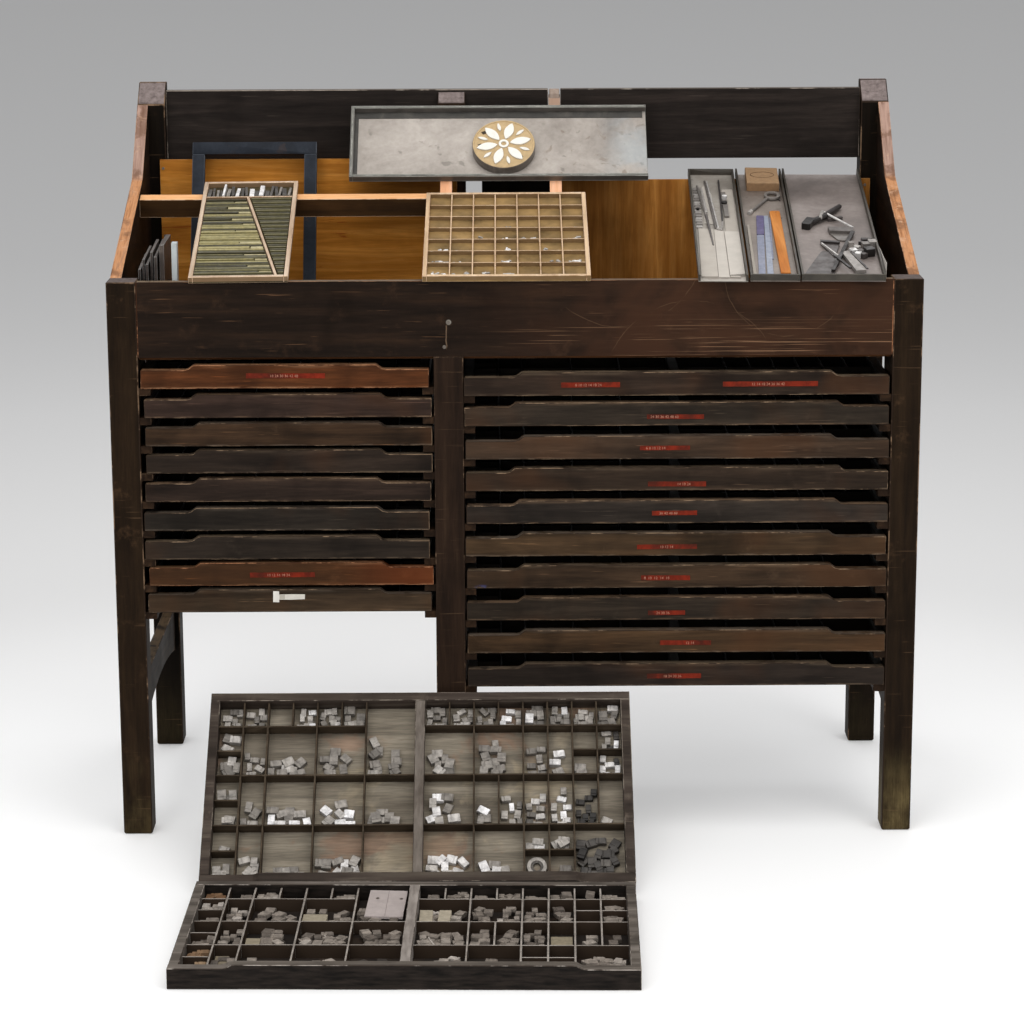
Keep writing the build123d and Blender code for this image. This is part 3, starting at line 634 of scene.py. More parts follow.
up_frame = wood("lean_frame", (44, 38, 33), (64, 55, 49), (88, 80, 71), "x", 31.0, rough=(0.45, 0.7), fibre=0.35, scratch=0.4,
                scratch_c=(128, 116, 102), wear=0.4, wear_c=(112, 100, 88), dark=0.4,
                extra=lambda m, col, fine, blotch: mid_bar(m, col, fine, LEAN, 399, 421, (78, 70, 63), (122, 114, 106)))
# the flat case's frame is darkened on faces that look to the front: painted shade
lo_frame = wood("flat_frame", (62, 56, 51), (94, 87, 80), (126, 118, 111), "x", 33.0, rough=(0.5, 0.7), fibre=0.35, scratch=0.4,
                scratch_c=(160, 150, 140), wear=0.5, wear_c=(140, 128, 116), dark=0.4,
                extra=lambda m, col, fine, blotch: m.mix(
                    m.mask(m.normal()[1], -0.4, -0.7), mid_bar(m, col, fine, FLAT, 399, 421, (112, 104, 98), (164, 156, 149)),
                    m.ramp(m.noise(m.mapped(scale=(6, 40, 40)), 4.0, 5.0, 0.6), [(0.35, lin(20, 18, 16)), (0.7, lin(44, 38, 34))])))
dress("leaning_case_frame", [up_frame, worn("arris_lean", (112, 102, 92), (144, 134, 122), 6.0, (60, 52, 46), 0.55)], 1.3, 2)
dress("flat_case_frame", [lo_frame, worn("arris_flat", (120, 112, 104), (156, 148, 140), 7.0, (58, 50, 44), 0.55)], 1.3, 2)


def bottom(name, cs, seed, tilt):
    m = Mat(name)
    v = grain_vec(m, "x", seed, tilt)
    s = m.noise(v, 2.4, 6.0, 0.6, 0.4)
    p = m.mapped(loc=(seed, seed, seed))
    st = m.noise(p, 6.0, 5.0, 0.6, 0.8)
    col = m.ramp(s, [(0.28, lin(*cs[0])), (0.5, lin(*cs[1])), (0.74, lin(*cs[2]))])
    col = m.mix(m.mask(st, 0.54, 0.62, 0.0, 0.4), col, lin(*cs[3]))
    warm = m.noise(m.mapped(loc=(seed + 7, 0, 2)), 4.6, 5.0, 0.65, 0.5)
    col = m.mix(m.mask(warm, 0.56, 0.64, 0.0, 0.5), col, lin(cs[1][0] * 1.05, cs[1][1] * 0.82, cs[1][2] * 0.72))
    col = m.mix(m.mask(m.noise(p, 3.1, 3.0, 0.6), 0.55, 0.7, 0.0, 0.55), col, lin(*cs[4]))
    fine = m.noise(v, 24.0, 3.0, 0.6)
    m.bump(fine, 0.3, 0.3)
    return m.done(m.mix(m.mask(fine, 0.35, 0.65, 0.35, 0.0), col, lin(*[c * 0.5 for c in cs[0]])), 0.72, spec=0.25)


dress("leaning_case_bottom", [bottom("lean_bottom", ((96, 88, 76), (130, 121, 106), (156, 146, 130), (178, 162, 134), (78, 69, 58)), 2.2, 40)], 0)
dress("flat_case_bottom", [bottom("flat_bottom", ((22, 17, 14), (36, 28, 22), (54, 43, 35), (72, 58, 46), (18, 14, 11)), 4.2, 0)], 0)
dv_up = wood("lean_div", (46, 38, 30), (66, 56, 45), (90, 78, 64), "x", 35.0, fibre=0.3, rough=(0.5, 0.7), dark=0.3)
# the flat case's dividers are darkened on every face that doesn't look up: painted shade on their sides
dv_lo = wood("flat_div", (112, 104, 96), (146, 138, 130), (176, 168, 160), "x", 36.0, fibre=0.3, rough=(0.5, 0.7), dark=0.3,
             extra=lambda m, col, fine, blotch: m.mix(m.mask(m.normal()[2], 0.6, 0.4), col, lin(52, 42, 34)))
dress("leaning_case_dividers", [dv_up, worn("div_top_lean", (66, 56, 46), (98, 86, 72), 8.0, (46, 38, 30), 0.45)], 0.5, 1)
dress("flat_case_dividers", [dv_lo, worn("div_top_flat", (150, 142, 134), (182, 174, 166), 9.0, (110, 100, 92), 0.85)], 0.5, 1)


# ------------------------------------------------------------------ trays and galleys
def galley_extra(fr, bed_h, marks=0, dark_rim=(62, 60, 58), right_stain=None):
    def f(m, col, fine, blotch):
        h = m.along(fr, "n")
        rim = m.mask(h, bed_h + 0.4, bed_h + 1.2)
        rc = m.ramp(m.noise(m.mapped(), 20.0, 5.0, 0.6), [(0.3, lin(*dark_rim)), (0.7, lin(*[c * 1.5 for c in dark_rim]))])
        if right_stain:
            x = m.along(fr, "x")
            st = m.noise(m.mapped(loc=(3, 1, 2)), 30.0, 5.0, 0.6, 0.8)
            sp = m.mul(m.mask(x, 330, 430), m.mask(st, 0.6, 0.66), 0.55)
            col = m.mix(sp, col, lin(112, 96, 80))
            blue = m.mul(m.mask(x, 500, 585), m.mask(m.noise(m.mapped(), 12.0, 4.0), 0.35, 0.6))
            col = m.mix(m.mul(blue, 0.45), col, lin(150, 162, 168))
            brown = m.mul(m.mask(x, 545, 600), m.mask(m.along(fr, "y"), 28, 20))
            rc = m.mix(m.mul(brown, 0.8), rc, lin(140, 104, 66))
        return m.mix(rim, col, rc)
    return f


zinc = metal("zinc_long", (112, 104, 97), (150, 142, 134), (180, 172, 164), 0.7, (0.42, 0.62), 0.25, 7.0, 0.12, 0.6, (104, 98, 90),
             galley_extra(GAL, 1.8, dark_rim=(72, 68, 64), right_stain=True))
dress("galley_long", [zinc, metal("zinc_edge", (92, 92, 86), (128, 128, 122), (170, 170, 164), 2.7, metallic=0.5)], 0.9, 2)
g_1 = metal("galley_steel_1", (124, 116, 108), (150, 143, 134), (178, 172, 164), 3.7, (0.4, 0.62), 0.35, 10.0, 0.12, 0.4, (92, 86, 80),
            galley_extra(G1, 1.6, dark_rim=(44, 40, 34)))
g_2 = metal("galley_steel_2", (96, 84, 76), (122, 112, 104), (148, 138, 130), 4.7, (0.42, 0.64), 0.35, 10.0, 0.12, 0.4, (80, 68, 58),
            galley_extra(G2, 1.6, dark_rim=(44, 40, 34)))
g_3 = metal("galley_steel_3", (88, 80, 76), (122, 112, 107), (152, 143, 138), 5.7, (0.42, 0.64), 0.35, 6.0, 0.12, 0.3, (88, 82, 80),
            galley_extra(G3, 1.6, dark_rim=(48, 44, 38)))
g_edge = metal("galley_edge", (58, 54, 46), (84, 78, 68), (118, 110, 98), 6.7, metallic=0.5)
dress("galley_narrow_1", [g_1, g_edge], 0.5, 1)
dress("galley_narrow_2", [g_2, g_edge], 0.5, 1)
dress("galley_wide", [g_3, g_edge], 0.5, 1)
dress("chase", [metal("chase_iron", (20, 23, 28), (32, 36, 43), (48, 53, 61), 1.7, (0.5, 0.7), 0.0, 9.0, 0.25, 0.3, (66, 50, 40), spec=0.12),
                metal("chase_edge", (36, 40, 46), (56, 61, 68), (84, 88, 95), 2.1, metallic=0.0, spec=0.15)], 1.6, 2)


def tray_wood_extra(fr, floor_h, floor_c, front_shade_c):
    def f(m, col, fine, blotch):
        h = m.along(fr, "n")
        floor = m.mask(h, floor_h + 0.6, floor_h + 0.1)
        fc = m.ramp(m.noise(m.mapped(), 16.0, 5.0, 0.6), [(0.3, lin(*[c * 0.72 for c in floor_c])), (0.7, lin(*[c * 1.2 for c in floor_c]))])
        # faces that look to the front are darkened: painted shade
        ny = m.normal()[1]
        return m.mix(floor, m.mix(m.mask(ny, -0.5, -0.8, 0.0, 0.9), col, lin(*front_shade_c)), fc)
    return f


dress("lead_case", [wood("lead_case_wood", (156, 132, 110), (186, 164, 142), (206, 188, 168), "y", 41.0, tilt=16.41, rough=(0.55, 0.75),
                         fibre=0.25, dark=0.2, scratch=0.2, extra=tray_wood_extra(LEAD, 3.0, (70, 62, 44), (112, 88, 62))), ARRIS_LIGHT], 0.7, 1)
dress("spacing_case", [wood("spacing_case_wood", (166, 138, 108), (196, 168, 136), (214, 190, 160), "y", 43.0, tilt=16.15, rough=(0.55, 0.75),
                            fibre=0.25, dark=0.2, scratch=0.2, extra=tray_wood_extra(SPC, 3.0, (126, 102, 66), (104, 80, 50))), ARRIS_LIGHT], 0.6, 1)


def plates_extra(m, col, fine, blotch):
    x = m.xyz()[0]
    return m.mix(m.mask(x, -0.669, -0.667), col, m.ramp(blotch, [(0.3, lin(166, 172, 174)), (0.7, lin(198, 204, 204))]))


dress("bin_plates", [metal("plate_stack", (38, 30, 25), (62, 52, 46), (104, 94, 86), 8.3, (0.35, 0.6), 0.35, 18.0, 0.2, extra=plates_extra),
                     metal("plate_edge", (90, 88, 86), (132, 130, 128), (176, 176, 176), 9.3, metallic=0.5)], 0.5, 1)


# ------------------------------------------------------------------ loose things: shared materials
def tone_mat(name, stops, rough=0.5, metallic=0.0, seed=0.0, mottled=0.12, bump=0.15, scale=120.0, spec=0.3):
    """Each small piece carries its own tone; the ramp turns it into a colour, with fine mottling."""
    m = Mat(name)
    col = m.ramp(m.attr(), [(p, lin(*c)) for p, c in stops])
    n = m.noise(m.mapped(loc=(seed, seed, seed)), scale, 4.0, 0.6)
    k = m.n("ShaderNodeVectorMath", operation="SCALE")
    m.put(k.inputs[0], col)
    m.put(k.inputs["Scale"], m.mask(n, 0.3, 0.7, 1.0 - 2 * mottled, 1.0 + mottled, smooth=False))
    m.bump(n, bump, 0.2)
    r = m.mask(m.noise(m.mapped(loc=(seed + 3, 0, 0)), scale * 0.4, 2.0), 0.3, 0.7, max(0.05, rough - 0.12), rough + 0.12, smooth=False)
    return m.done(k.outputs[0], r, metallic=metallic, spec=spec)


TYPE = tone_mat("type_metal", [(0.0, (38, 35, 33)), (0.25, (80, 75, 70)), (0.5, (128, 122, 115)), (0.75, (168, 162, 155)), (1.0, (232, 230, 230))],
                0.5, 0.15, 1.0, 0.22, scale=90.0)
# a darker copy of the type metal, used for the type in the flat case
TYPE_LO = tone_mat("type_metal_darker", [(0.0, (26, 23, 21)), (0.25, (62, 55, 50)), (0.5, (104, 95, 87)), (0.75, (148, 138, 128)), (1.0, (192, 184, 176))],
                   0.6, 0.1, 2.0, 0.24, scale=90.0)
WOODY = tone_mat("type_wood", [(0.0, (70, 44, 28)), (0.4, (108, 78, 54)), (0.7, (132, 106, 80)), (1.0, (168, 146, 118))], 0.65, 0.0, 3.0, 0.2)
rng = random.Random(20417)


def sort_piece(b, fr, x, y, h, rz, L, w, d, rx=0.0, ry=0.0, mat=0, tone=0.5):
    """One piece of type lying down: a body with a nick, and a narrower neck that carries the face."""
    f = fr.sub(x, y, h, rz, rx, ry)
    o = f.o - f.x * (L / 2)
    g = Fr(o, f.x, f.n, -f.y)
    s = L / 23.3
    prof = [(0, 0), (21.0 * s, 0), (21.5 * s, 1.0), (L, 1.3), (L, d - 1.3), (21.5 * s, d - 1.0), (21.0 * s, d),
            (7.2 * s, d), (6.8 * s, d - 0.9), (5.6 * s, d - 0.9), (5.2 * s, d), (0, d)]
    b.prism(g, prof, -w / 2, w / 2, mat, tone)


def heap(b, fr, u0, u1, t0, t1, n, tones, floor=5.3, wide=(10, 15), deep=(8, 12), mat=0, align=0.25, long=(19.0, 23.3), low=0.12, top=14.0):
    """n pieces lying in a cell region; a piece that meets another lies on top of it."""
    placed = []
    for k in range(n):
        L, w, d = rng.uniform(*long), rng.uniform(*wide), rng.uniform(*deep)
        best = None
        for _ in range(26):
            ang = rng.choice((0, 90)) + rng.uniform(-7, 7) if rng.random() < align else rng.uniform(0, 180)
            a = math.radians(ang)
            ex = abs(math.cos(a)) * L / 2 + abs(math.sin(a)) * w / 2
            ey = abs(math.sin(a)) * L / 2 + abs(math.cos(a)) * w / 2
            if u1 - u0 < 2 * ex + 0.6 or t1 - t0 < 2 * ey + 0.6:
                ang = 0 if u1 - u0 > t1 - t0 else 90
                a = math.radians(ang)
                ex, ey = (L / 2, w / 2) if ang == 0 else (w / 2, L / 2)
            x = rng.uniform(u0 + ex, max(u0 + ex, u1 - ex))
            y = rng.uniform(t0 + ey, max(t0 + ey, t1 - ey))
            hit = [q for q in placed if math.hypot(q[0] - x, q[1] - y) < 0.47 * (max(ex, ey) + q[2])]
            over = max([q[3] for q in hit], default=0.0)
            near = sum(max(0.0, 0.95 * (max(ex, ey) + q[2]) - math.hypot(q[0] - x, q[1] - y)) for q in placed if q not in hit)
            cost = over * 2.2 + near + low * (y - t0)
            if best is None or cost < best[0]:
                best = (cost, x, y, ang, over, ex, ey)
        _, x, y, ang, over, ex, ey = best
        over = min(over, top)
        tilt = 0.0 if over == 0 else rng.uniform(-9, 9)
        tn = rng.choice(tones) + rng.uniform(-0.1, 0.1)
        sort_piece(b, fr, x, y, floor + over + (abs(tilt) * 0.12), ang, L, w, d, tilt, tilt * 0.6, mat, min(1, max(0, tn)))
        placed.append((x, y, max(ex, ey) * 0.9, over + d))


UL = (409.5 - 9.5 - 18) / 8
ROWS = []
_u, _y = (403.8 - 20.2 - 9.6) / 7, 20.2
for _k in (2, 2, 2, 1):
    ROWS.append((_y, _y + _k * _u))
    _y += _k * _u + 3.2


def cell(half, k0, k1, row, part=None, row1=None):
    x0 = (18 if half == "L" else 419) + k0 * UL + 2.0
    x1 = (18 if half == "L" else 419) + k1 * UL - 2.0
    t0, t1 = ROWS[row][0] + 0.6, ROWS[row1 if row1 is not None else row][1] - 0.6
    if part == "lo":
        t1 = (t0 + t1) / 2 - 2
    if part == "up":
        t0 = (t0 + t1) / 2 + 2
    return x0, x1, t0, t1


G, B_, D, X_ = (0.42, 0.5, 0.6, 0.68), (0.65, 0.8, 0.97), (0.03, 0.1, 0.16), (0.4, 0.55, 0.9)
# half, first and last unit, row, part, count, across from and to, heap height, tones
UP = [("L", 0, 1, 3, None, 6, 0, 1, 1, G), ("L", 1, 2, 3, None, 6, 0, 1, 1, G), ("L", 3, 4, 3, None, 7, 0.1, 1, 1, B_), ("L", 4, 5, 3, None, 9, 0, 1, 1, (0.55, 0.65, 0.8)),
      ("L", 5, 6, 3, None, 5, 0, 1, 1, G), ("R", 0, 1, 3, None, 8, 0, 1, 1, G), ("R", 1, 2, 3, None, 7, 0, 1, 1, G), ("R", 2, 3, 3, None, 7, 0, 1, 1, G),
      ("R", 3, 4, 3, None, 6, 0, 1, 1, B_), ("R", 4, 5, 3, None, 5, 0, 1, 1, X_), ("R", 5, 6, 3, None, 9, 0, 1, 1, X_), ("R", 6, 7, 3, None, 8, 0, 1, 1, (0.5, 0.65)),
      ("R", 7, 8, 3, None, 5, 0, 1, 1, X_),
      ("L", 6, 8, 2, None, 6, 0.02, 0.36, 1, G), ("L", 6, 8, 2, None, 4, 0.45, 0.75, 0.5, G),
      ("L", 0, 1, 2, "up", 3, 0, 1, 1, G), ("L", 0, 1, 2, "lo", 4, 0, 1, 1, G), ("L", 1, 2, 2, None, 6, 0, 1, 0.75, (0.5, 0.6, 0.7)),
      ("L", 2, 4, 2, None, 8, 0, 0.9, 0.55, (0.5, 0.6, 0.75)), ("L", 4, 6, 2, None, 7, 0.05, 0.75, 0.65, (0.45, 0.55)),
      ("R", 0, 2, 2, None, 7, 0, 0.66, 0.6, (0.45, 0.55, 0.8)), ("R", 2, 4, 2, None, 10, 0.04, 0.66, 0.82, (0.45, 0.5, 0.55)),
      ("R", 4, 5, 2, None, 7, 0, 1, 0.8, (0.5, 0.6)), ("R", 5, 6, 2, None, 3, 0, 0.8, 0.6, (0.6, 0.9)), ("R", 6, 7, 2, "lo", 2, 0, 0.6, 0.6, (0.65,)),
      ("R", 7, 8, 2, "up", 7, 0, 1, 1, (0.15, 0.6, 0.95)), ("R", 7, 8, 2, "lo", 7, 0, 1, 1, (0.1, 0.6, 0.9)),
      ("L", 0, 1, 1, "up", 3, 0, 1, 0.6, G), ("L", 0, 1, 1, "lo", 3, 0.3, 1, 0.6, (0.5, 0.7)), ("L", 1, 2, 1, None, 4, 0, 1, 0.6, G),
      ("L", 2, 4, 1, None, 9, 0, 1, 0.45, (0.5, 0.6, 0.95)), ("L", 4, 6, 1, None, 7, 0.08, 0.86, 0.65, (0.6, 0.7, 0.95)),
      ("L", 6, 8, 1, None, 6, 0.04, 0.74, 0.4, (0.55, 0.65)), ("R", 0, 2, 1, None, 8, 0, 0.76, 0.78, (0.55, 0.7, 0.95)),
      ("R", 2, 3, 1, None, 3, 0.05, 0.75, 0.6, (0.6, 0.95)), ("R", 3, 4, 1, None, 7, 0, 1, 0.95, (0.45, 0.6, 0.97)), ("R", 4, 5, 1, None, 8, 0, 1, 0.85, (0.35, 0.6, 0.8)),
      ("R", 5, 6, 1, None, 8, 0, 1, 0.9, (0.6, 0.85, 0.98)), ("R", 6, 7, 1, None, 9, 0, 1, 0.95, D), ("R", 7, 8, 1, None, 1, 0, 0.6, 0.4, (0.7,)),
      ("L", 0, 1, 0, "up", 1, 0.2, 0.9, 0.5, (0.6,)), ("L", 0, 1, 0, "lo", 3, 0, 0.9, 0.7, G), ("L", 1, 2, 0, None, 5, 0, 1, 0.55, (0.6, 0.75)),
      ("L", 2, 4, 0, None, 5, 0, 0.95, 0.28, (0.5, 0.6)), ("L", 4, 6, 0, None, 9, 0.02, 1, 0.52, (0.5, 0.55, 0.8)),
      ("R", 0, 2, 0, None, 9, 0, 0.95, 0.5, (0.75, 0.9)), ("R", 2, 4, 0, None, 5, 0.05, 0.75, 0.38, (0.65, 0.9)),
      ("R", 4, 5, 0, "up", 3, 0, 0.9, 0.6, (0.6, 0.75)), ("R", 5, 6, 0, "up", 4, 0, 1, 0.7, (0.55, 0.7)), ("R", 5, 6, 0, "lo", 2, 0.3, 1, 0.6, (0.3,)),
      ("R", 6, 8, 0, None, 18, 0, 1, 0.85, D)]
LO = [("L", 0, 1, 3, None, 4, 0, 1, 1, (0.4, 0.6)), ("L", 1, 2, 3, None, 1, 0.4, 1, 0.5, G), ("L", 2, 3, 3, None, 7, 0, 1, 1, (0.75, 0.85)), ("L", 5, 6, 3, None, 4, 0, 1, 0.9, (0.7, 0.8)),
      ("R", 0, 1, 3, None, 1, 0.3, 1, 0.4, G), ("R", 1, 2, 3, None, 8, 0, 1, 1, (0.6, 0.75)), ("R", 2, 3, 3, None, 2, 0, 1, 0.5, (0.75,)), ("R", 3, 4, 3, None, 6, 0, 1, 1, (0.6, 0.7)),
      ("R", 4, 5, 3, None, 2, 0, 1, 0.5, (0.75,)), ("R", 5, 6, 3, None, 4, 0, 1, 0.9, (0.6, 0.7)), ("R", 6, 7, 3, None, 2, 0.3, 1, 1, (0.6,)), ("R", 7, 8, 3, None, 4, 0, 1, 0.9, (0.7, 0.8)),
      ("L", 0, 1, 2, "up", 8, 0, 1, 1, (0.8, 0.9)), ("L", 0, 1, 2, "lo", 1, 0, 1, 0.5, G), ("L", 1, 2, 2, None, 6, 0, 1, 0.9, (0.65, 0.8)),
      ("L", 2, 4, 2, None, 7, 0.08, 0.98, 0.85, (0.6, 0.7, 0.75)), ("L", 4, 6, 2, None, 7, 0.05, 1, 0.8, (0.6, 0.7, 0.8)),
      ("L", 6, 8, 2, None, 10, 0, 1, 0.32, (0.5, 0.6)), ("R", 0, 2, 2, None, 8, 0.02, 1, 0.5, (0.8, 0.95)),
      ("R", 2, 3, 2, None, 4, 0, 1, 0.95, (0.6, 0.7)), ("R", 3, 4, 2, None, 7, 0, 1, 1, (0.7, 0.8)), ("R", 4, 5, 2, None, 8, 0, 1, 0.9, (0.6, 0.75)),
      ("R", 5, 6, 2, None, 4, 0, 1, 1, (0.55, 0.7)), ("R", 7, 8, 2, "up", 3, 0, 1, 1, (0.6,)), ("R", 7, 8, 2, "lo", 5, 0, 1, 1, (0.6, 0.7)),
      ("L", 0, 1, 1, "lo", 4, 0, 1, 1, (0.5, 0.65)), ("L", 1, 2, 1, None, 7, 0, 1, 0.9, (0.6, 0.7)), ("L", 2, 4, 1, None, 6, 0.25, 0.8, 0.95, (0.55, 0.7)),
      ("L", 4, 6, 1, None, 10, 0, 1, 0.8, (0.5, 0.65, 0.75)), ("L", 6, 8, 1, None, 10, 0.05, 1, 0.9, (0.5, 0.65)), ("R", 0, 2, 1, None, 14, 0, 0.98, 0.85, (0.6, 0.7)),
      ("R", 2, 3, 1, None, 5, 0, 1, 0.95, (0.55, 0.65)), ("R", 3, 4, 1, None, 5, 0, 1, 0.85, (0.55, 0.6)), ("R", 4, 5, 1, None, 8, 0, 1, 0.95, (0.5, 0.65)),
      ("R", 6, 7, 1, None, 2, 0.2, 0.95, 0.7, (0.75,)), ("R", 7, 8, 1, None, 2, 0.1, 0.9, 1, (0.4,)),
      ("L", 0, 1, 0, "up", 3, 0, 1, 1, (0.6,)), ("L", 0, 1, 0, "lo", 3, 0, 1, 1, (0.7,)), ("L", 1, 2, 0, None, 5, 0, 1, 0.7, (0.4, 0.6)),
      ("L", 2, 4, 0, None, 5, 0.05, 0.95, 0.4, (0.6, 0.7)), ("L", 4, 6, 0, None, 6, 0.1, 1, 0.65, (0.65, 0.7)), ("L", 6, 8, 0, None, 5, 0.05, 1, 0.5, (0.2, 0.55)),
      ("R", 0, 2, 0, None, 7, 0.4, 0.95, 0.75, (0.7, 0.85)), ("R", 2, 4, 0, None, 4, 0.2, 0.95, 0.8, (0.7,)), ("R", 4, 5, 0, "lo", 1, 0.5, 1, 1, (0.6,)),
      ("R", 6, 8, 0, None, 14, 0.05, 0.95, 0.7, (0.6, 0.75))]

for name, fr, table, body, mt in (("type_in_leaning_case", LEAN, UP, "leaning_case", TYPE), ("type_in_flat_case", FLAT, LO, "flat_case", TYPE_LO)):
    b = Build()
    for half, k0, k1, row, part, n, fa, fb, hh, tones in table:
        row1 = 3 if (half == "L" and k0 == 6 and row == 2) else None
        u0, u1, t0, t1 = cell(half, k0, k1, row, part, row1)
        flat_one = name == "type_in_flat_case"
        if name == "type_in_leaning_case" and row1:
            t1 = t0 + (t1 - t0) * (0.62 if fa < 0.1 else 0.4)
        elif row1:
            t1 = t0 + (t1 - t0) * 0.36
        else:
            t1 = t0 + max((t1 - t0) * hh, 22.0 if (t1 - t0) > 30 else (t1 - t0))
            t1 = min(t1, cell(half, k0, k1, row, part)[3])
        a0, a1 = u0 + (u1 - u0) * fa, u0 + (u1 - u0) * fb
        if a1 - a0 < 26:
            a1 = min(u1, a0 + 26)
        small = (u1 - u0) < 46 and n > 5
        woody = name == "type_in_flat_case" and half == "L" and k0 == 0 and (row == 3 or row == 0)
        kw = dict(wide=(9, 13) if small else (12, 18), deep=(6, 9) if small else (9, 12), mat=1 if woody else 0,
                  align=0.75 if row == 3 or small else 0.25, long=(15, 20) if small else (20.0, 23.6))
        if flat_one:
            # these cells are fuller: a hidden lower layer carries the pieces that show
            c3 = cell(half, k0, k1, row1 if row1 is not None else row, part)[3]
            t1 = min(c3, max(t1, t0 + 0.72 * (c3 - t0)))
            kw["deep"] = (7, 10)
            heap(b, fr, a0, a1, t0, t1, max(1, n // 2), [v - 0.12 for v in tones], floor=5.3, low=0.02, top=6.0, **kw)
            heap(b, fr, a0, a1, t0, t1, n + max(1, n // 3), tones, floor=13.2, low=0.05, top=6.5, **kw)
        else:
            heap(b, fr, a0, a1, t0, t1, n, tones, **kw)
    b.make(name, body, [mt, WOODY], bevel=0.5)

# a plain white-metal ring and its wedge lie in one small cell of the leaning case
b = Build()
u0, u1, t0, t1 = cell("R", 4, 5, 0, "lo")
b.ring(LEAN, (u0 + u1) / 2, (t0 + t1) / 2 + 1, 12, 19, 5.3, 12, 28, 0, 0.7, 1.05)
b.ring(LEAN, (u0 + u1) / 2, (t0 + t1) / 2 + 1, 7, 11.5, 5.3, 10.5, 24, 0, 0.25, 1.15)
b.make("ring_in_leaning_case", "leaning_case", [TYPE], bevel=0.5, seg=2)

# flat case: a light plate with two holes, blocks of furniture, and a few thin strips
PLATE = tone_mat("light_plate", [(0, (132, 122, 119)), (1, (186, 175, 171))], 0.6, 0.05, 5.0, 0.06, 0.1, 60.0)
b = Build()
pf = FLAT.sub(360, 339, 20.5, -1.0, 1.6, 0)
pts = [(-36, -60), (34, -62), (35, 58), (-34, 61)]
b.prism(pf, pts, 0, 5.0, 0, 0.75)
b.box(pf, 0.4, 1.6, -60, 60, 5.0, 5.25, 0, 0.2)
b.make("plate_in_flat_case", "flat_case", [PLATE], bevel=0.8, seg=2)
b = Build()
for sx, sy in ((-18, 22), (26, 20)):
    b.ring(pf, sx, sy, 2.0, 3.4, 5.0, 5.7, 20, 0, 0.45)
    b.disc(pf, sx, sy, 1.9, 5.0, 5.2, 16, 0, 0.3)
b.make("plate_eyelets", "flat_case", [TYPE_LO], bevel=0.2)
FURN = tone_mat("furniture_wood", [(0, (92, 80, 64)), (0.5, (134, 124, 104)), (1, (172, 162, 144))], 0.65, 0.0, 6.0, 0.12)
b = Build()
for half, k0, k1, row, x0, x1, y0, y1, h, tn in (("L", 4, 6, 2, 0.0, 0.5, 0.02, 0.42, 15, 0.7), ("L", 2, 4, 1, 0.04, 0.34, 0.02, 0.4, 14, 0.55),
                                                 ("R", 5, 6, 1, 0.04, 0.96, 0.02, 0.45, 16, 0.45), ("R", 0, 2, 2, 0.02, 0.3, 0.05, 0.6, 16, 0.85),
                                                 ("R", 0, 2, 2, 0.4, 0.66, 0.03, 0.55, 18, 0.9), ("L", 1, 2, 0, 0.1, 0.7, 0.05, 0.8, 8, 0.35),
                                                 ("R", 0, 2, 0, 0.0, 0.4, 0.02, 0.25, 10, 0.6), ("R", 2, 4, 0, 0.0, 0.4, 0.02, 0.25, 10, 0.6),
                                                 ("L", 6, 8, 0, 0.02, 0.3, 0.02, 0.3, 12, 0.75), ("L", 6, 8, 0, 0.34, 0.62, 0.02, 0.3, 12, 0.7)):
    u0, u1, t0, t1 = cell(half, k0, k1, row)
    xa, xb, ya, yb = u0 + (u1 - u0) * x0, u0 + (u1 - u0) * x1, t0 + (t1 - t0) * y0, t0 + (t1 - t0) * y1
    f = FLAT.sub((xa + xb) / 2, (ya + yb) / 2, 5.3, rng.uniform(-1.5, 1.5))
    h += 5
    hx, hy = (xb - xa) / 2 - 0.8, (yb - ya) / 2 - 0.8
    b.prism(f, [(-hx, -hy), (hx, -hy), (hx, hy - 1), (hx - 1, hy), (-hx, hy)], 0, h, 0, tn)
b.make("furniture_in_flat_case", "flat_case", [FURN], bevel=0.9, seg=2)
b = Build()
for half, k0, k1, row, xs, y0, y1, lean in (("R", 0, 2, 1, (0.06, 0.12, 0.18, 0.24), 0.05, 0.5, 22), ("R", 3, 4, 3, (0.1, 0.25, 0.4), 0.08, 0.95, -18),
                                            ("L", 4, 6, 1, (0.42, 0.48, 0.54), 0.35, 0.7, 25)):
    u0, u1, t0, t1 = cell(half, k0, k1, row)
    for i, fx in enumerate(xs):
        L = (t1 - t0) * (y1 - y0) * 0.8
        f = FLAT.sub(u0 + (u1 - u0) * fx + 8, t0 + (t1 - t0) * (y0 + y1) / 2, 12.5 + 2 * i, lean + rng.uniform(-4, 4), 4, 0)
        b.prism(f, [(-1.6, -L / 2), (1.6, -L / 2), (1.4, L / 2), (-1.4, L / 2)], 0, 5, 0, 0.9 if i % 2 else 0.5)
b.make("strips_in_flat_case", "flat_case", [TYPE_LO], bevel=0.3)


# ------------------------------------------------------------------ tape labels with plain numbers
TAPE = Mat("tape_red")
_n = TAPE.noise(TAPE.mapped(), 60.0, 5.0, 0.65)
_d = TAPE.noise(TAPE.mapped(loc=(4, 4, 4)), 14.0, 4.0, 0.6)
TAPE.bump(_n, 0.2, 0.2)
TAPE.done(TAPE.mix(TAPE.mask(_d, 0.42, 0.64, 0.0, 0.8), TAPE.ramp(_n, [(0.3, lin(84, 26, 14)), (0.7, lin(124, 38, 20))]), lin(52, 27, 19)), 0.6, spec=0.08)
TAPE = TAPE.mat
DIGIT = tone_mat("tape_digits", [(0, (132, 88, 70)), (1, (184, 128, 104))], 0.6, 0.0, 7.0, 0.2)


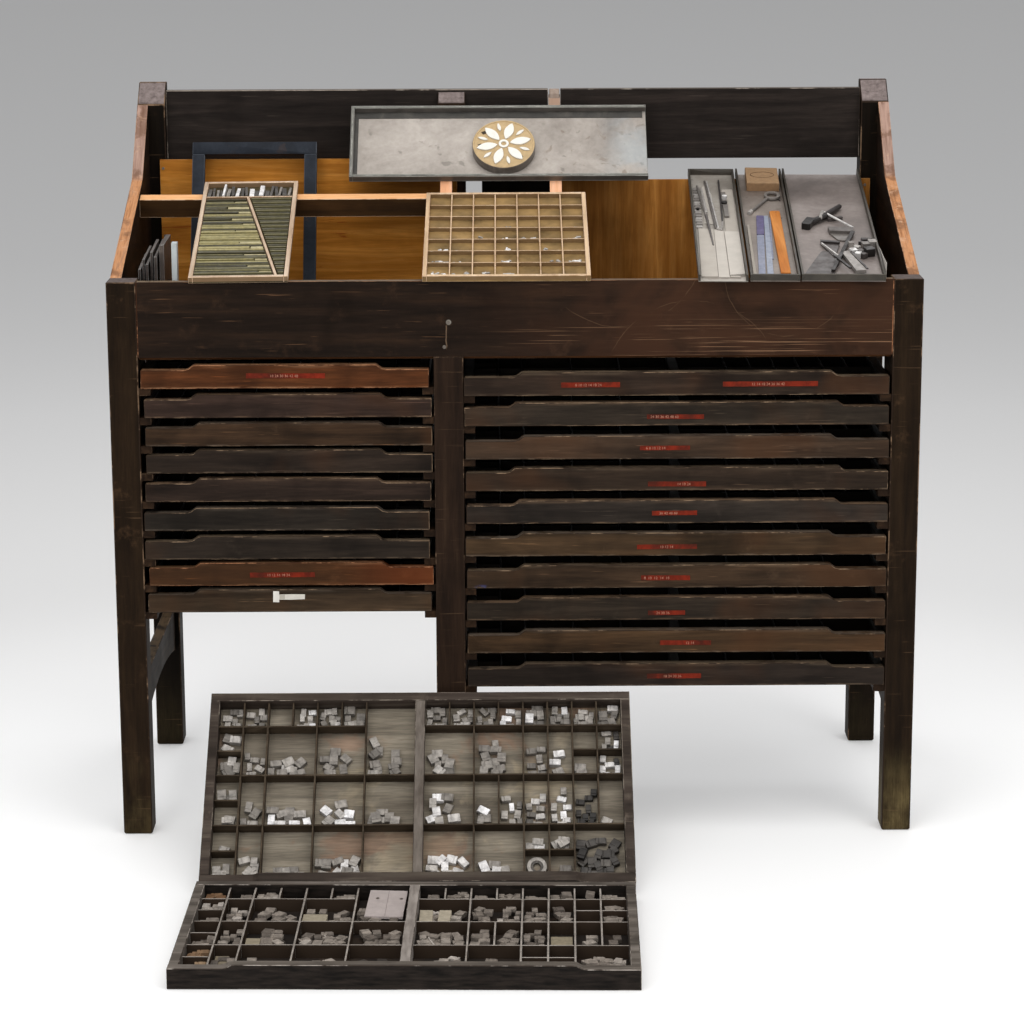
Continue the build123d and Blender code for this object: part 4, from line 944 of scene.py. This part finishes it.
def digits(b, fr, text, x, y, size, h0, h1, mat, tone, spread=1.0):
    cu = bpy.data.curves.new("tmp_digits", "FONT")
    cu.body, cu.size, cu.extrude, cu.resolution_u = text, size, 0.5, 2
    cu.space_character = spread
    ob = bpy.data.objects.new("tmp_digits", cu)
    scene.collection.objects.link(ob)
    bpy.context.view_layer.update()
    me = bpy.data.meshes.new_from_object(ob.evaluated_get(bpy.context.evaluated_depsgraph_get()))
    vs = [fr.p(x + v.co.x, y + v.co.y, h0 if v.co.z < 0 else h1) for v in me.vertices]
    b.add(vs, [tuple(p.vertices) for p in me.polygons], mat, tone)
    wide = max((v.co.x for v in me.vertices), default=0)
    bpy.data.objects.remove(ob)
    bpy.data.meshes.remove(me)
    return wide


LABELS = [("left", 1, -517.5, -365.7, 927.8, "18 24 30 36 42 48", 0.3, 10), ("left", 8, -519.0, -392.3, 532.6, "10 12 14 18 24", 0.26, 10),
          ("right", 1, 87.7, 201.3, 907.0, "8 10 12 14 18 24", 0.24, 10), ("right", 1, 399.4, 582.3, 907.4, "12 14 18 24 30 36 42", 0.3, 10),
          ("right", 2, 253.6, 363.6, 843.6, "24 30 36 42 48 60", 0.06, 9), ("right", 3, 240.3, 337.0, 782.4, "6 8 10 12 14", 0.12, 9),
          ("right", 4, 256.4, 368.9, 710.2, "14 18 24", 0.5, 10), ("right", 5, 264.4, 351.9, 652.5, "36 42 48 60", 0.16, 9),
          ("right", 6, 235.5, 352.3, 585.6, "10 12 14", 0.38, 9.5), ("right", 7, 243.7, 339.4, 522.6, "8  10  12  14  18", 0.06, 10),
          ("right", 8, 257.9, 330.3, 451.5, "24 30 36", 0.22, 9), ("right", 9, 281.7, 381.7, 391.0, "12 14", 0.5, 9.5), ("right", 10, 256.7, 362.9, 322.4, "18 24 30 36", 0.3, 10)]
for side, i, x0, x1, zc, text, at, hh in LABELS:
    dy = (LEFT_DY if side == "left" else RIGHT_DY)[i - 1]
    f = Fr((0, Y0 + dy, 0), (1, 0, 0), (0, 0, 1), (0, -1, 0)).sub((x0 + x1) / 2, zc, 0.05, rng.uniform(-0.5, 0.5))
    b = Build()
    hx, hy = (x1 - x0) / 2, hh / 2
    n = 14
    top = [(hx - 2 * hx * k / n, hy + rng.uniform(-0.25, 0.1)) for k in range(n + 1)]
    bot = [(-hx + 2 * hx * k / n, -hy + rng.uniform(-0.1, 0.25)) for k in range(n + 1)]
    b.prism(f, bot + top, 0, 0.55, 0, 0.5)
    digits(b, f, text, -hx + 2 * hx * at, -2.7, 7.4, 0.5, 0.85, 1, 0.6)
    b.make("label_%s_%d_%d" % (side, i, int(x0) + 600), "%s_case_%d" % (side, i), [TAPE, DIGIT], bevel=0)

PAPER = tone_mat("paper", [(0, (150, 144, 132)), (0.5, (190, 184, 172)), (1, (216, 212, 204))], 0.8, 0.0, 8.0, 0.06, 0.1, 50.0, 0.1)
b = Build()
f = Fr((0, Y0 - 2.0, 0), (1, 0, 0), (0, 0, 1), (0, -1, 0))
b.prism(f, [(-475, 477.5), (-463.2, 477), (-463, 499), (-474.6, 499.5)], 0.05, 0.45, 0, 0.95)
b.prism(f, [(-463.5, 482.5), (-440, 482.2), (-413, 483), (-412.6, 492.8), (-438, 493.2), (-463.5, 492.6)], 0.05, 0.6, 0, 0.75)
b.prism(f, [(-462, 483.4), (-452, 483.4), (-452, 492), (-462, 492)], 0.6, 0.75, 0, 0.25)
b.make("slip_left_9", "left_case_9", [PAPER], bevel=0)


# ------------------------------------------------------------------ round mounted block: a plain rosette
def disc_side(m, col, fine, blotch):
    return col


BLOCK = tone_mat("block_tan", [(0, (34, 28, 22)), (0.3, (104, 82, 56)), (0.6, (172, 146, 106)), (1, (196, 172, 132))], 0.6, 0.0, 9.0, 0.08)
DEVICE = tone_mat("device_white", [(0, (186, 180, 168)), (1, (224, 222, 214))], 0.5, 0.0, 10.0, 0.04)
SIDE = metal("block_side", (72, 66, 60), (118, 110, 102), (168, 160, 152), 11.0, metallic=0.35)
BF = GAL.sub(316, 112, 1.9, 12)
b = Build()
N = 72
prof = [(63.5, 0.0), (64.6, 0.8), (64.2, 6.0), (64.8, 13.0), (64.4, 19.0), (63.6, 20.4), (60.8, 20.8), (60.2, 19.6), (0.01, 19.6)]
vs, fs = [], []
for i in range(N):
    a = 2 * math.pi * i / N
    for r, h in prof:
        vs.append(BF.p(r * math.cos(a), r * math.sin(a), h))
K = len(prof)
for i in range(N):
    j = (i + 1) % N
    for k in range(K - 1):
        fs.append((i * K + k, j * K + k, j * K + k + 1, i * K + k + 1))
fs.append(tuple(i * K for i in range(N - 1, -1, -1)))
b.add(vs, fs, 0, 0.72)
for k in range(len(b.f)):
    pass
b.m = [1 if (idx % (K - 1)) < 5 and idx < N * (K - 1) else 0 for idx in range(len(b.f))]
blk = b.make("round_block_body", "long_galley", [BLOCK, SIDE], slot="block_wood", bevel=0)
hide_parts("round_block")
b = Build()


def petal(r0, r1, w, ang, n=9):
    pts = []
    for k in range(n + 1):
        s = k / n
        pts.append((r0 + (r1 - r0) * s, w * math.sin(math.pi * s) ** 0.8))
    pts += [(x, -y) for x, y in pts[-2:0:-1]]
    a = math.radians(ang)
    return [(x * math.cos(a) - y * math.sin(a), x * math.sin(a) + y * math.cos(a)) for x, y in pts]


for k in range(6):
    b.prism(BF, petal(13, 57, 9.5, 60 * k), 19.7, 22.6, 0, 0.9)
    b.prism(BF, petal(34, 56, 3.6, 60 * k + 30, 6), 19.7, 22.4, 0, 0.8)
b.ring(BF, 0, 0, 5.5, 10.5, 19.7, 22.5, 32, 0, 0.9)
b.make("rosette", "long_galley", [DEVICE], bevel=0.5, seg=2)
b = Build()
for x0, y0, s in ((-36, 34, 9), (-50, 4, 7), (24, -44, 8)):
    b.prism(BF, [(x0, y0), (x0 + s, y0 + 2), (x0 + s - 2, y0 + s), (x0 - 3, y0 + s * 0.8)], 19.65, 20.3, 0, 0.05)
b.make("block_dark_patches", "long_galley", [BLOCK], bevel=0.2)


# ------------------------------------------------------------------ leads
LEADS = tone_mat("lead_strip", [(0.0, (40, 37, 26)), (0.3, (68, 63, 40)), (0.55, (94, 88, 57)), (0.75, (130, 122, 78)), (0.9, (156, 145, 100)), (1, (182, 172, 138))],
                 0.6, 0.05, 12.0, 0.16)
b = Build()
TN = [0.3, 0.55, 0.2, 0.62, 0.45, 0.15, 0.5, 0.25, 0.8, 0.78, 0.4, 0.1, 0.58, 0.3, 0.35, 0.9, 0.85, 0.2, 0.5, 0.28]
y, k = 0.6, 0
while y < 370 - 11:
    thick = (3.6, 5.4, 7.5, 4.4, 9.0, 5.0)[k % 6]
    xd = 164 - 74 * (y + thick + 1.5) / 368 - 2.0
    short = (0, 0, 26, 0, 0, 44, 0)[k % 7]
    f = LEAD.sub(9.2, y, 3.1)
    t1_ = (7.4, 8.2, 6.6)[k % 3]
    tn = TN[k % 20] if not 140 < y < 205 else (0.86, 0.8, 0.72)[k % 3]
    b.prism(f, [(0, 0), (xd - 9.2 - short, 0), (xd - 9.2 - short - 0.6, thick / 2), (xd - 9.2 - short, thick), (0.3, thick)], 0, t1_, 0, tn)
    if short > 20:
        b.prism(f, [(xd - 9.2 - short + 2, 0.4), (xd - 9.2, 0), (xd - 9.2, thick), (xd - 9.2 - short + 2, thick)], 0, t1_ - 0.8, 0, 0.95)
    y += thick + (0.9 if k % 4 else 5.5)
    k += 1
y, k = 3.0, 0
while y < 370 - 9:
    thick = (4.2, 6.0, 5.0)[k % 3]
    xd = 169 - 74 * (y + 1.5) / 368 + 2.5
    if 180.4 - xd > 8:
        f = LEAD.sub(xd, y, 3.1)
        b.prism(f, [(0, 0), (180.4 - xd, 0.2), (180.4 - xd, thick), (0.4, thick)], 0, (7.0, 8.0)[k % 2], 0, (0.3, 0.48, 0.2, 0.55)[k % 4])
    y += thick + 4.6
    k += 1
o = b.make("leads_graded", "leads", [LEADS], slot="lead", bevel=0.35)
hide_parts("lead_strips")
b = Build()
x = 10.0
while x < 176:
    w = rng.uniform(4, 11)
    d = rng.uniform(28, 56)
    f = LEAD.sub(x + w / 2, 374 + d / 2, 3.2, rng.uniform(-5, 5))
    b.prism(f, [(-w / 2 + 0.4, -d / 2), (w / 2 - 0.4, -d / 2), (w / 2 - 0.6, d / 2 - 1), (-w / 2 + 0.4, d / 2)], 0, rng.uniform(6, 11), 0, rng.choice((0.25, 0.5, 0.7, 0.93, 0.15)))
    x += w + rng.uniform(0.6, 3.0)
b.make("slugs_rear_row", "leads", [TYPE], bevel=0.4)

# ------------------------------------------------------------------ spacing bits
b = Build()
cw, ch = (322.0 - 16) / 7, (399.0 - 16) / 7
for i, j, n, tones in ((0, 0, 13, (0.7, 0.9)), (1, 0, 7, (0.7, 0.95)), (2, 0, 6, (0.5, 0.8)), (3, 0, 8, (0.7, 0.98)), (4, 0, 2, (0.5,)), (0, 1, 6, (0.6, 0.9)), (1, 1, 2, (0.7,)), (3, 1, 6, (0.7, 0.95)),
                       (5, 1, 2, (0.6,)), (6, 1, 9, (0.7, 0.95)), (0, 2, 4, (0.7, 0.9)), (1, 2, 3, (0.5,)), (3, 2, 5, (0.8, 0.98)), (5, 2, 4, (0.8,)), (3, 3, 4, (0.6, 0.9)), (4, 3, 5, (0.6, 0.8)),
                       (2, 3, 1, (0.6,)), (6, 3, 5, (0.6, 0.8)), (3, 4, 3, (0.25, 0.4)), (5, 6, 1, (0.2,)), (6, 4, 1, (0.3,))):
    for _ in range(n):
        L, w = rng.uniform(4.5, 12), rng.uniform(3, 6)
        f = SPC.sub(8 + i * cw + rng.uniform(7, cw - 7), -6 + 8 + j * ch + rng.uniform(6, min(ch - 7, 20)), 3.2, rng.uniform(0, 180))
        d = rng.uniform(2, 4)
        b.prism(f, [(-L / 2, -w / 2), (L / 2, -w / 2), (L / 2, w / 2), (0, w / 2 - 0.5), (-L / 2, w / 2)], 0, d, 0, min(1, rng.choice(tones) + rng.uniform(-0.05, 0.05)))
b.make("spacing_bits", "spacing", [TYPE], bevel=0.25)


# ------------------------------------------------------------------ what lies in the three galleys
def bar(b, fr, x0, y0, x1, y1, w0, w1, h0, h1, mat=0, tone=0.5):
    """Tapering flat bar between two points."""
    d = math.hypot(x1 - x0, y1 - y0)
    nx, ny = -(y1 - y0) / d, (x1 - x0) / d
    c = min(w0, w1) * 0.18
    tx, ty = (x1 - x0) / d * c, (y1 - y0) / d * c
    b.prism(fr, [(x0 + nx * w0 / 2 + tx, y0 + ny * w0 / 2 + ty), (x0 + nx * (w0 / 2 - c), y0 + ny * (w0 / 2 - c)), (x0 - nx * (w0 / 2 - c), y0 - ny * (w0 / 2 - c)),
                 (x0 - nx * w0 / 2 + tx, y0 - ny * w0 / 2 + ty), (x1 - nx * w1 / 2, y1 - ny * w1 / 2), (x1 + nx * w1 / 2, y1 + ny * w1 / 2)], h0, h1, mat, tone)


def rod(b, fr, x0, y0, h0, x1, y1, h1, r0, r1, mat=0, tone=0.5, n=12, flat=1.0):
    p, q = fr.p(x0, y0, h0), fr.p(x1, y1, h1)
    ax = (q - p).normalized()
    e1 = ax.cross(fr.n).normalized()
    e2 = e1.cross(ax)
    L = (q - p).length
    st = [(0.0, r0 * 0.7), (0.012, r0), (0.5, (r0 + r1) / 2), (0.988, r1), (1.0, r1 * 0.7)]
    vs, fs = [], []
    for s, r in st:
        c = p + ax * L * s
        for i in range(n):
            a = 2 * math.pi * i / n
            vs.append(c + (e1 * math.cos(a) + e2 * math.sin(a) * flat) * r * MM)
    for k in range(len(st) - 1):
        for i in range(n):
            j = (i + 1) % n
            fs.append((k * n + i, k * n + j, (k + 1) * n + j, (k + 1) * n + i))
    fs.append(tuple(range(n - 1, -1, -1)))
    fs.append(tuple((len(st) - 1) * n + i for i in range(n)))
    b.add(vs, fs, mat, tone)


STEEL = tone_mat("tool_steel", [(0, (34, 31, 29)), (0.15, (50, 45, 44)), (0.3, (76, 70, 68)), (0.6, (128, 122, 117)), (0.8, (172, 167, 162)), (1, (222, 220, 218))], 0.42, 0.4, 13.0, 0.16)
CARD = tone_mat("card", [(0, (132, 124, 114)), (0.5, (166, 159, 150)), (1, (184, 178, 170))], 0.75, 0.0, 14.0, 0.04, 0.08, 40.0, 0.1)

b = Build()     # cards in the near half of the first galley
B0 = 1.7
b.prism(G1, [(6, 6), (38.5, 5), (40, 262), (10, 266)], B0, B0 + 3.2, 0, 0.55)
b.prism(G1, [(39.5, 5), (60.5, 4), (60, 262), (41, 262)], B0, B0 + 2.2, 0, 0.8)
b.prism(G1, [(61.5, 12), (90.5, 18), (90, 246), (61, 248)], B0, B0 + 4.0, 0, 0.9)
b.prism(G1, [(62, 5), (82, 5), (81, 11), (62, 11)], B0, B0 + 2.0, 0, 0.5)
b.prism(G1, [(24, 300), (47, 292), (45, 470), (33, 528), (22, 500)], B0, B0 + 1.0, 0, 0.75)
b.prism(G1, [(64, 252), (90, 252), (89, 500), (66, 498)], B0, B0 + 1.2, 0, 0.45)
b.make("cards_in_galley_1", "narrow_galley_1", [CARD], bevel=0.2)
b = Build()
rod(b, G1, 16, 512, 6, 28, 330, 8, 2.4, 3.2, 0, 0.55)
rod(b, G1, 28, 332, 8, 36, 170, 5, 3.0, 1.6, 0, 0.35)
rod(b, G1, 24, 500, 5, 29, 340, 10, 2.2, 3.0, 0, 0.8)
rod(b, G1, 33, 545, 5, 45, 262, 6, 2.2, 2.6, 0, 0.45)
rod(b, G1, 37, 540, 6, 50, 262, 6, 1.6, 1.8, 0, 0.85)
rod(b, G1, 47, 262, 5, 58, 256, 5, 3.5, 3.0, 0, 0.7)
bar(b, G1, 62, 545, 60, 300, 3.0, 3.0, B0, B0 + 6, 0, 0.2)
bar(b, G1, 60, 300, 56, 262, 3.0, 6.0, B0, B0 + 6, 0, 0.65)
bar(b, G1, 68, 470, 70, 330, 10, 9, B0 + 1.4, B0 + 6, 0, 0.55)
b.disc(G1, 69, 428, 5.2, B0 + 6, B0 + 14, 20, 0, 0.97)
b.disc(G1, 68, 404, 6.2, B0 + 5, B0 + 9, 20, 0, 0.02)
for k in range(15):     # a ladder-like metal spacer on the left
    yy = 272 + k * 15.5
    xx = 6.5 + (k % 2) * 0.6
    b.prism(G1, [(xx, yy), (xx + 13, yy + 1), (xx + 12.4, yy + 11.5), (xx + 0.5, yy + 12.5)], B0 + 0.1, B0 + 2.6 + 0.5 * (k % 3), 0, (0.78, 0.62, 0.7)[k % 3])
b.disc(G1, 13, 372, 3.4, B0 + 3, B0 + 7, 14, 0, 0.02)
b.make("tools_in_galley_1", "narrow_galley_1", [STEEL], bevel=0.35, seg=2)

b = Build()     # second galley: mounted block with an engraved oval, a ring-handled key, strips
b.prism(G2, [(19, 490), (86, 488), (87, 584), (20, 587)], B0, B0 + 17, 0, 0.72)
b.prism(G2, [(19.6, 490.6), (85.4, 488.6), (86.2, 583.2), (20.6, 586.2)], B0 + 17, B0 + 18.2, 0, 0.85)
b.make("oval_block", "narrow_galley_2", [tone_mat("oval_block_wood", [(0, (70, 46, 26)), (0.6, (108, 78, 50)), (0.8, (142, 112, 82)), (1, (164, 136, 104))], 0.6, 0.0, 15.0, 0.1)], bevel=1.0, seg=2)
b = Build()
b.ring(G2.sub(53, 540, 0), 0, 0, 23.5, 24.8, B0 + 18.1, B0 + 18.6, 48, 0, 0.08, 0.7)
b.make("oval_line", "narrow_galley_2", [WOODY], bevel=0)
b = Build()
b.ring(G2.sub(69, 452, 0), 0, 0, 10.5, 16.5, B0 + 2, B0 + 6.4, 40, 0, 0.6, 1.35)
rod(b, G2, 58, 437, 5, 20, 356, 4.8, 3.2, 2.6, 0, 0.55)
rod(b, G2, 22, 362, 5, 16.5, 348, 5, 4.2, 4.2, 0, 0.8)
bar(b, G2, 82, 470, 84, 430, 2.4, 2.4, B0, B0 + 3, 0, 0.3)
b.make("key_in_galley_2", "narrow_galley_2", [STEEL], bevel=0.8, seg=2)
STRIP = tone_mat("strip_plastic", [(0, (66, 58, 96)), (0.3, (84, 76, 112)), (0.6, (112, 116, 134)), (1, (136, 143, 156))], 0.45, 0.0, 16.0, 0.12, 0.05)
b = Build()
bar(b, G2, 38, 338, 33, 232, 15, 14.5, B0 + 0.1, B0 + 3.4, 0, 0.18)
bar(b, G2, 33, 230, 24, 12, 14.5, 13, B0 + 0.1, B0 + 2.6, 0, 0.62)
bar(b, G2, 50, 338, 40, 12, 9, 12, B0 + 0.1, B0 + 3.0, 0, 0.85)
bar(b, G2, 57.5, 330, 49, 100, 3, 4, B0 + 0.1, B0 + 2.0, 0, 0.6)
b.make("strips_in_galley_2", "narrow_galley_2", [STRIP], bevel=0.6, seg=2)
b = Build()
bar(b, G2, 68.5, 360, 69.5, 18, 21, 19, B0 + 0.1, B0 + 5.4, 0, 0.5)
ORANGE = wood("orange_wood", (150, 86, 36), (176, 110, 52), (194, 134, 76), "y", 51.0, tilt=GAL_T, rough=(0.5, 0.7), fibre=0.3, dark=0.15)
b.make("wood_strip", "narrow_galley_2", [ORANGE], bevel=0.8, seg=2)
b = Build()
b.disc(G2, 71, 352, 1.6, B0 + 5.3, B0 + 5.7, 12, 0, 0.0)
b.disc(G2, 80, 318, 1.8, B0 + 5.0, B0 + 5.7, 12, 0, 0.0)
bar(b, G2, 11, 282, 10, 10, 4.5, 6, B0, B0 + 4, 1, 0.3)
b.make("bits_in_galley_2", "narrow_galley_2", [STEEL, CARD], bevel=0.2)

b = Build()     # third galley: hammer-like tool, sticks, wedges and small cubes
rod(b, G3, 36, 282, 9, 72, 322, 10, 7.5, 6.5, 0, 0.06, 12, 0.8)
bar(b, G3, 26, 262, 40, 300, 18, 18, B0, B0 + 13, 0, 0.04)
rod(b, G3, 70, 322, 10, 104, 382, 8, 6.5, 5.2, 0, 0.16)
bar(b, G3, 74, 312, 104, 322, 9, 8, B0, B0 + 7, 0, 0.3)
rod(b, G3, 68, 330, 14, 122, 266, 5, 2.6, 2.2, 0, 0.9)
rod(b, G3, 58, 300, 12, 66, 338, 12, 4, 4, 0, 0.75)
b.prism(G3, [(70, 258), (121, 258), (118, 232), (72, 236)], B0, B0 + 9, 0, 0.4)
b.prism(G3, [(72, 238), (112, 236), (100, 196), (86, 200)], B0, B0 + 3, 0, 0.5)
bar(b, G3, 118, 236, 62, 24, 8, 7, B0 + 4, B0 + 9, 0, 0.1)
b.prism(G3, [(50, 186), (88, 178), (86, 170), (50, 176)], B0 + 2, B0 + 9, 0, 0.16)
b.prism(G3, [(50, 176), (86, 170), (72, 96)], B0 + 1, B0 + 5, 0, 0.32)
bar(b, G3, 51, 172, 78, 104, 3, 3, B0 + 4, B0 + 8, 0, 0.85)
b.prism(G3, [(9, 16), (12, 30), (46, 130), (52, 140), (86, 112), (62, 16)], B0, B0 + 3.4, 0, 0.3)
bar(b, G3, 94, 124, 116, 22, 17, 20, B0 + 2, B0 + 9, 0, 0.66)
bar(b, G3, 104, 118, 128, 26, 4, 4, B0 + 9, B0 + 11, 0, 0.2)
bar(b, G3, 70, 96, 96, 28, 5, 5, B0 + 9, B0 + 12, 0, 0.08)
b.make("tools_in_galley_3", "wide_galley", [STEEL], bevel=0.9, seg=2)
b = Build()
for x, y, s, rz, h, tn in ((110, 128, 13, 20, 0, 0.97), (118, 146, 12, 60, 0, 0.8), (106, 142, 10, 10, 12, 0.6), (124, 126, 12, 35, 0, 0.35), (136, 190, 11, 5, 0, 0.2),
                           (136, 160, 14, 12, 0, 0.5), (150, 168, 16, 8, 0, 0.68), (146, 196, 10, 30, 0, 0.4), (140, 122, 18, 18, 0, 0.06), (128, 108, 12, 40, 0, 0.3),
                           (118, 112, 12, 70, 0, 0.97), (148, 140, 10, 0, 0, 0.12), (130, 178, 9, 50, 0, 0.15)):
    f = G3.sub(x, y, B0 + h, rz)
    b.prism(f, [(-s / 2, -s / 2), (s / 2, -s / 2), (s / 2, s / 2 - 1), (s / 2 - 1, s / 2), (-s / 2, s / 2)], 0, s * 0.9, 0, tn)
b.make("cubes_in_galley_3", "wide_galley", [STEEL], bevel=0.7, seg=2)
b = Build()
e = Fr(G3.o, G3.y, G3.n, G3.x)
b.prism(e, [(6, 1), (60, -3), (152, 9), (120, 14), (70, 20), (10, 30)], 161.5, 162.3, 0, 0.98)
b.make("card_at_rim", "wide_galley", [CARD], bevel=0.1)


LIP = metal("tray_lip", (84, 84, 78), (118, 118, 111), (158, 157, 149), 21.0, (0.4, 0.6), 0.35, 30.0, 0.15)
# dark strips on the bed along the inside of the long tray's far and left rims: a painted shadow band under the rims
SHADOW_BAND = metal("tray_shadow_band", (34, 33, 30), (56, 54, 50), (84, 80, 74), 22.0, (0.5, 0.7), 0.2, 24.0, 0.15)
b = Build()
b.prism(GAL, [(7.3, 199), (604, 199), (604, 215.8), (7.3, 215.8)], 1.9, 3.2, 0, 0.5)
b.prism(GAL, [(7.3, 38.3), (15.5, 44), (15.5, 199), (7.3, 215.8)], 1.9, 3.0, 0, 0.5)
b.make("tray_shadow_band", "long_galley", [SHADOW_BAND], bevel=0.4)
b = Build()
for y0, y1 in ((33.2, 36.2), (217.4, 220.6)):
    b.box(GAL, 2.2, 608, y0, y1, 15.8, 16.8, 0, 0.5)
b.box(GAL, 2.0, 5.2, 36.2, 217.4, 15.8, 16.8, 0, 0.5)
b.make("tray_lip", "long_galley", [LIP], bevel=0.4, seg=2)

# rounded head of the right-hand bearer, level with the top of the back board
hd = Fr((75, Y0 + 621 - 57 + 22, 0), (0, 1, 0), (0, 0, 1), (1, 0, 0))
b = Build()
b.prism(hd, [(1, 1398), (21, 1398), (21, 1420), (8, 1420), (4, 1417), (1, 1411)], 0.6, 21.4, 0, 0.5)
b.make("bearer_head", "cabinet", [wood("pine_head", (118, 98, 86), (142, 124, 111), (162, 148, 137), "z", 61.0, rough=(0.55, 0.75), fibre=0.25)], bevel=1.6, seg=3)


# ------------------------------------------------------------------ camera, floor and light
cam_data = bpy.data.cameras.new("view")
cam = bpy.data.objects.new("view", cam_data)
scene.collection.objects.link(cam)
cam_data.sensor_width = 36.0
cam_data.lens = 36.0 * 2862.0 / 1024.0
cam_data.shift_y = -80.0 / 1024.0
cam_data.clip_start, cam_data.clip_end = 0.1, 200.0
ps, th, ro = 0.0030, 0.2107, -0.0042
fwd = Vector((math.sin(ps) * math.cos(th), math.cos(ps) * math.cos(th), -math.sin(th)))
rt = Vector((math.cos(ps), -math.sin(ps), 0))
upv = rt.cross(fwd)
R_ = rt * math.cos(ro) + upv * math.sin(ro)
U_ = -rt * math.sin(ro) + upv * math.cos(ro)
rot = Matrix((R_, U_, -fwd)).transposed()
cam.matrix_world = Matrix.Translation((-0.0231, -5.4042 + Y0 * MM, 1.9704)) @ rot.to_4x4()
scene.camera = cam

scene.view_settings.view_transform = "Standard"
scene.view_settings.look = "None"
scene.view_settings.exposure = 0.0
scene.view_settings.gamma = 1.0

world = bpy.data.worlds.new("studio")
scene.world = world
world.use_nodes = True
bg = world.node_tree.nodes["Background"]
bg.inputs["Color"].default_value = (0.76, 0.76, 0.765, 1)
bg.inputs["Strength"].default_value = 1.0

# pale floor that falls off into grey with distance, and glows a little near the cabinet as painted light
me = bpy.data.meshes.new("studio_floor")
nseg, rings = 64, [0.0, 1.0, 2.0, 3.5, 6.0, 10.0, 18.0, 32.0, 60.0]
vs, fs = [(0, 0, -0.0006)], []
for r in rings[1:]:
    for i in range(nseg):
        a = 2 * math.pi * i / nseg
        vs.append((r * math.cos(a), r * math.sin(a), -0.0006))
for i in range(nseg):
    fs.append((0, 1 + i, 1 + (i + 1) % nseg))
for k in range(len(rings) - 2):
    for i in range(nseg):
        a, b = 1 + k * nseg + i, 1 + k * nseg + (i + 1) % nseg
        fs.append((a, a + nseg, b + nseg, b))
me.from_pydata(vs, [], fs)
floor = bpy.data.objects.new("studio_floor", me)
scene.collection.objects.link(floor)
fm = Mat("floor_pale")
x, y, z = fm.xyz()
d = fm.math("SQRT", fm.math("ADD", fm.mul(x, x), fm.mul(fm.math("SUBTRACT", y, -0.2), fm.math("SUBTRACT", y, -0.2))))
lg = fm.math("LOGARITHM", fm.math("ADD", d, 0.001), 10.0)
t = fm.mask(lg, -0.2, 1.5, smooth=False)
FLOOR = [(0.0, 0.76), (0.12, 0.76), (0.245, 0.71), (0.415, 0.655), (0.513, 0.64), (0.655, 0.55), (0.96, 0.468)]
col = fm.ramp(t, [(p, (v, v, v)) for p, v in FLOOR])
# a faint glow on the floor near the cabinet: painted light that lifts the shadow under it
near = fm.mask(d, 2.5, 1.3, 0.0, 0.2)
fm.bsdf.inputs["Emission Color"].default_value = (1, 1, 1, 1)
fm.put(fm.bsdf.inputs["Emission Strength"], near)
fm.done(col, 0.9, spec=0.1)
me.materials.append(fm.mat)


def area(name, loc, target, size, power, size_y=None, colour=(1, 1, 1)):
    d = bpy.data.lights.new(name, "AREA")
    d.energy, d.size, d.color = power, size, colour
    if size_y:
        d.shape, d.size_y = "RECTANGLE", size_y
    o = bpy.data.objects.new(name, d)
    scene.collection.objects.link(o)
    o.location = loc
    o.rotation_euler = (Vector(target) - Vector(loc)).to_track_quat("-Z", "Y").to_euler()
    return o


area("key_top", (0.2, -1.6, 4.6), (0, 0.1, 0.6), 4.2, 104, 3.0, (1.0, 0.985, 0.96))
area("fill_front", (-2.6, -4.6, 2.6), (0, 0, 0.7), 2.6, 50, 2.6)
area("fill_right", (3.2, -3.4, 2.4), (0, 0, 0.7), 2.2, 36, 2.2)
area("rear_top", (0, 2.6, 3.4), (0, 0.2, 0.9), 3.4, 29, 1.6)
